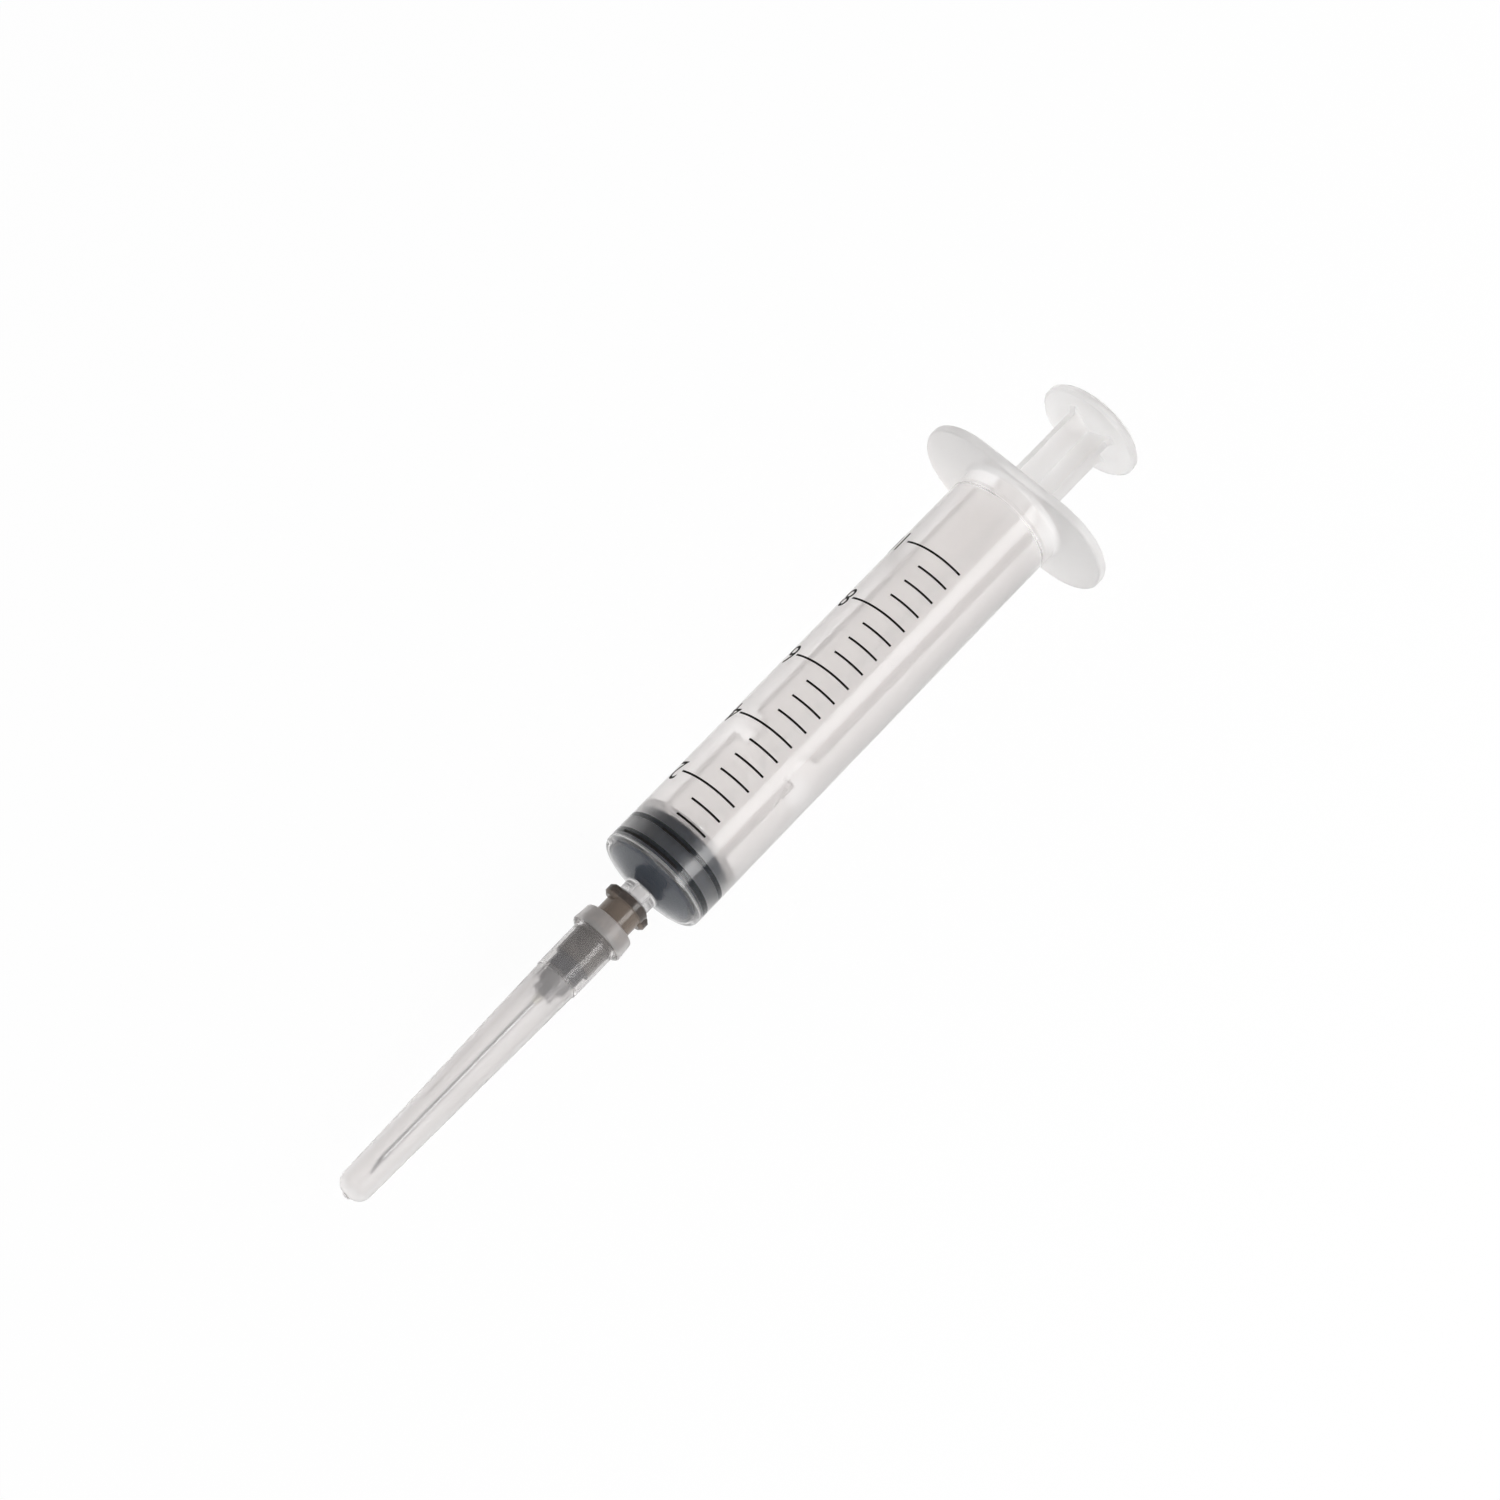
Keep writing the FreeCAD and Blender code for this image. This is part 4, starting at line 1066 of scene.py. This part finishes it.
@dataclass
class Cap:
    """Needle cap in one moulding: long sheath, step, collar and inner ribs."""

    at: float = -49.103
    length: float = 50.5
    tip_radius: float = 2.35
    tip_round: float = 2.0
    step_x: float = 39.9
    step_radius: float = 3.2
    step_height: float = 0.13
    open_radius: float = 3.35
    collar_length: float = 2.7
    collar_slope: float = 0.6
    collar_front: float = 4.12
    collar_back: float = 3.9
    tip_wall: float = 1.2
    inner_tip: float = 1.55
    inner_start: float = 1.93
    wall: float = 0.7
    seat_x: float = 40.57
    seat_radius: float = 2.74
    mouth_x: float = 48.07
    mouth_radius: float = 2.91
    rib_start: float = 16.6
    rib_height: float = 0.16
    rib_thickness: float = 0.3
    rib_count: int = 8
    rib_gap: float = 0.05
    gate_radius: float = 0.6
    gate_height: float = 0.25
    gate_round: float = 0.15
    gate_foot_round: float = 0.1
    inner_tip_round: float = 1.0
    mouth_round: float = 0.1
    collar_round: float = 0.3
    step_round: float = 0.05
    collar_slack: float = 0.2
    open_slack: float = 0.05
    hollow_slack: float = 0.12

    def outline(self) -> list[Corner]:
        """Section of the cap.

        Returns:
            Corners from the inside of the tip along the hollow, and back along the outside.
        """
        inner = self.step_radius - self.wall
        collar_x = self.length - self.collar_length
        corners = [
            Corner(self.tip_wall, 0),
            Corner(self.tip_wall, self.inner_tip, self.inner_tip_round),
            Corner(self.rib_start, self.inner_start),
            Corner(self.seat_x, inner),
            Corner(self.seat_x, self.seat_radius),
            Corner(self.mouth_x, self.seat_radius),
            Corner(self.mouth_x, self.mouth_radius),
            Corner(self.length, self.mouth_radius, self.mouth_round),
            Corner(self.length, self.collar_back, self.collar_round),
            Corner(collar_x, self.collar_front, self.collar_round),
            Corner(collar_x - self.collar_slope, self.open_radius, self.collar_round),
            Corner(self.step_x, self.step_radius + self.step_height, self.step_round),
            Corner(self.step_x, self.step_radius, self.step_round),
            Corner(0, self.tip_radius, self.tip_round),
            Corner(0, self.gate_radius, self.gate_foot_round),
            Corner(-self.gate_height, self.gate_radius, self.gate_round),
            Corner(-self.gate_height, 0),
        ]
        return shifted(corners, self.at)

    def skin_at(self, along: float, radius: float) -> Skin:
        """Skin of a face of the cap.

        Args:
            along: Place along the axis in millimetres.
            radius: Distance from the axis in millimetres.

        Returns:
            The inner skin in the hollow, the clear one on the hub's seat, the milky one over the seat,
            the thick one on the collar, or the outer one.
        """
        place = along - self.at
        inside = radius < self.mouth_radius + SKIN_SLACK
        if place > self.length - self.collar_length - self.collar_slack and not inside:
            return Skin.THICK
        if place > self.step_x + self.open_slack:
            return Skin.CLEAR if inside else Skin.MILKY
        hollow = self.inner_tip + (self.mouth_radius - self.inner_tip) * place / self.mouth_x
        in_hollow = place > self.tip_wall - SKIN_SLACK and radius < hollow + self.hollow_slack
        return Skin.INNER if in_hollow else Skin.OUTER

    def rib(self) -> bpy.types.Object:
        """One inner rib, a long thin web sunk into the wall.

        Returns:
            The rib above the axis, still drawn along X.
        """
        inner = self.step_radius - self.wall
        length = self.seat_x - self.rib_start - self.rib_gap
        bpy.ops.object.select_all(action="DESELECT")
        bpy.ops.mesh.primitive_cube_add(size=1, location=(0, 0, 0))
        web = bpy.context.object
        web.scale = (length * MM, self.rib_thickness * MM, 2 * self.rib_height * MM)
        middle = self.at + self.rib_start + length / 2
        web.location = (middle * MM, 0, self.inner_start * MM)
        bpy.ops.object.transform_apply(location=True, rotation=True, scale=True)
        bpy.ops.object.mode_set(mode="EDIT")
        mesh = bmesh.from_edit_mesh(web.data)
        select_only(web, mesh, [vertex for vertex in mesh.verts if vertex.co.x > middle * MM])
        bpy.ops.transform.translate(value=(0, 0, (inner - self.inner_start) * MM))
        bpy.ops.object.mode_set(mode="OBJECT")
        return web

    def build(self, axis: Axis) -> None:
        """Model the cap and dress it.

        Args:
            axis: Where it lies.
        """
        piece = turned("cap_sheath", self.outline())
        pattern = self.rib()
        for k in range(self.rib_count):
            web = pattern.copy()
            web.data = pattern.data.copy()
            bpy.context.collection.objects.link(web)
            pick(web)
            web.rotation_euler.x = 2 * math.pi * k / self.rib_count
            bpy.ops.object.transform_apply(location=True, rotation=True, scale=True)
            combine(piece, web)
        bpy.data.objects.remove(pattern, do_unlink=True)
        part_skins(piece, CAP_FINISHES, self.skin_at)
        settle(piece, axis, Body.CAP, "needle_cap")


@dataclass
class Mouldings:
    """Nodes of the frame whose own form is shown, each with its finish."""

    finishes: dict[str, Finish] = field(default_factory=lambda: {
        "plunger_rod": ROD_PLASTIC,
        "needle_hub": HUB_PLASTIC,
        "cannula": NEEDLE_STEEL,
        "adhesive_bead": GLUE,
    })

    def build(self) -> None:
        """Give each node its material."""
        for name, finish in self.finishes.items():
            coat(frame["nodes"][name], finish)
            log.info("%s: %s", name, finish.name)


@dataclass
class Studio:
    """White table, soft light from all round, two softboxes, and the camera that took the picture."""

    floor_size: float = 8.0
    floor_drop: float = 0.0001
    floor_colour: Colour = (0.9, 0.9, 0.9)
    background_share: float = 0.95
    horizon_light: float = 1.0
    zenith_light: float = 0.45
    horizon_rise: tuple[float, float] = (0.1, 0.45)
    box_direction: Vector = field(default_factory=lambda: Vector((0.30, -0.72, 0.62)))
    box_distance: float = 0.75
    box_size: tuple[float, float] = (0.75, 0.32)
    box_power: float = 3.7
    fill_direction: Vector = field(default_factory=lambda: Vector((-0.60, -0.15, 0.75)))
    fill_distance: float = 0.9
    fill_size: tuple[float, float] = (0.6, 0.6)
    fill_power: float = 1.6
    camera_place: Vector = field(default_factory=lambda: Vector((-0.161227, -0.118375, 0.480845)))
    camera_turn: tuple[float, float, float] = (23.5111, -2.4656, -48.3829)
    camera_lens: float = 90.56
    camera_sensor: float = 36.0
    camera_near: float = 0.01

    def floor(self) -> None:
        """Table that shows white to the eye and keeps a soft shadow."""
        bpy.ops.object.select_all(action="DESELECT")
        bpy.ops.mesh.primitive_plane_add(size=self.floor_size, location=(0, 0, -self.floor_drop))
        floor = bpy.context.object
        floor.name = "table"
        graph = Graph("table_white")
        paint = graph.add("BsdfDiffuse", {"Color": (*self.floor_colour, 1.0)})
        glow = graph.add("Emission", {"Color": WHITE, "Strength": 1.0})
        share = graph.add("Math", {1: self.background_share}, operation="MULTIPLY")
        graph.join(self.seen(graph), share.inputs[0])
        mix = graph.mix(share.outputs["Value"], paint.outputs["BSDF"], glow.outputs["Emission"])
        graph.join(mix, graph.output.inputs["Surface"])
        floor.data.materials.append(graph.material)

    @staticmethod
    def seen(graph: Graph) -> bpy.types.NodeSocket:
        """Value that is 1 for what the eye sees, straight or in a reflection or through plastic.

        Args:
            graph: Graph that it is added to.

        Returns:
            The output that carries it.
        """
        path = graph.add("LightPath")
        first = graph.add("Math", operation="MAXIMUM")
        second = graph.add("Math", operation="MAXIMUM")
        graph.join(path.outputs["Is Camera Ray"], first.inputs[0])
        graph.join(path.outputs["Is Glossy Ray"], first.inputs[1])
        graph.join(first.outputs["Value"], second.inputs[0])
        graph.join(path.outputs["Is Transmission Ray"], second.inputs[1])
        return second.outputs["Value"]

    def sky(self) -> None:
        """Room round the table, white near the horizon and greyer overhead."""
        world = bpy.data.worlds.new("soft_room")
        world.use_nodes = True
        tree = world.node_tree
        background = tree.nodes["Background"]
        direction = tree.nodes.new("ShaderNodeTexCoord")
        split = tree.nodes.new("ShaderNodeSeparateXYZ")
        level = tree.nodes.new("ShaderNodeMapRange")
        level.interpolation_type = "SMOOTHSTEP"
        for name, value in zip(("From Min", "From Max", "To Min", "To Max"),
                               (*self.horizon_rise, self.horizon_light, self.zenith_light)):
            level.inputs[name].default_value = value
        tree.links.new(direction.outputs["Generated"], split.inputs["Vector"])
        tree.links.new(split.outputs["Z"], level.inputs["Value"])
        tree.links.new(level.outputs["Result"], background.inputs["Strength"])
        background.inputs["Color"].default_value = WHITE
        bpy.context.scene.world = world

    @staticmethod
    def softbox(name: str, direction: Vector, distance: float, size: tuple[float, float],
                power: float) -> None:
        """Softbox that faces the syringe.

        Args:
            name: Name of the lamp.
            direction: Where it stands, seen from the syringe.
            distance: How far away it stands, in metres.
            size: Its length and height in metres.
            power: Its power in watts.
        """
        toward = direction.normalized()
        bpy.ops.object.light_add(type="AREA", location=toward * distance)
        lamp = bpy.context.object
        lamp.name = name
        lamp.data.shape = "RECTANGLE"
        lamp.data.size, lamp.data.size_y = size
        lamp.data.energy = power
        lamp.rotation_euler = toward.to_track_quat("Z", "Y").to_euler()

    def camera(self) -> None:
        """Camera where the photograph was taken."""
        bpy.ops.object.camera_add(location=self.camera_place,
                                  rotation=[math.radians(a) for a in self.camera_turn])
        camera = bpy.context.object
        camera.name = "camera"
        camera.data.lens = self.camera_lens
        camera.data.sensor_width = self.camera_sensor
        camera.data.clip_start = self.camera_near
        bpy.context.scene.camera = camera

    def build(self) -> None:
        """Set up the table, the light and the camera."""
        self.floor()
        self.sky()
        self.softbox("streak_box", self.box_direction, self.box_distance, self.box_size, self.box_power)
        self.softbox("fill_box", self.fill_direction, self.fill_distance, self.fill_size, self.fill_power)
        self.camera()
        bpy.context.scene.view_settings.view_transform = "Standard"
        log.info("studio is set")


def main() -> None:
    """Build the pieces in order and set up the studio."""
    logging.basicConfig(level=logging.INFO, format="%(name)s: %(message)s")
    barrel = Barrel()
    axis = Axis.from_frame(barrel.nozzle_end_radius - barrel.nozzle_rim_round)
    log.info("axis from %s, tilt %.4f deg", [round(c / MM, 4) for c in axis.start], math.degrees(axis.tilt))
    barrel.build(axis)
    ScalePrint(barrel.outer).build(axis)
    Stopper().build(axis)
    Cap().build(axis)
    Mouldings().build()
    Studio().build()


if __name__ == "__main__":
    main()
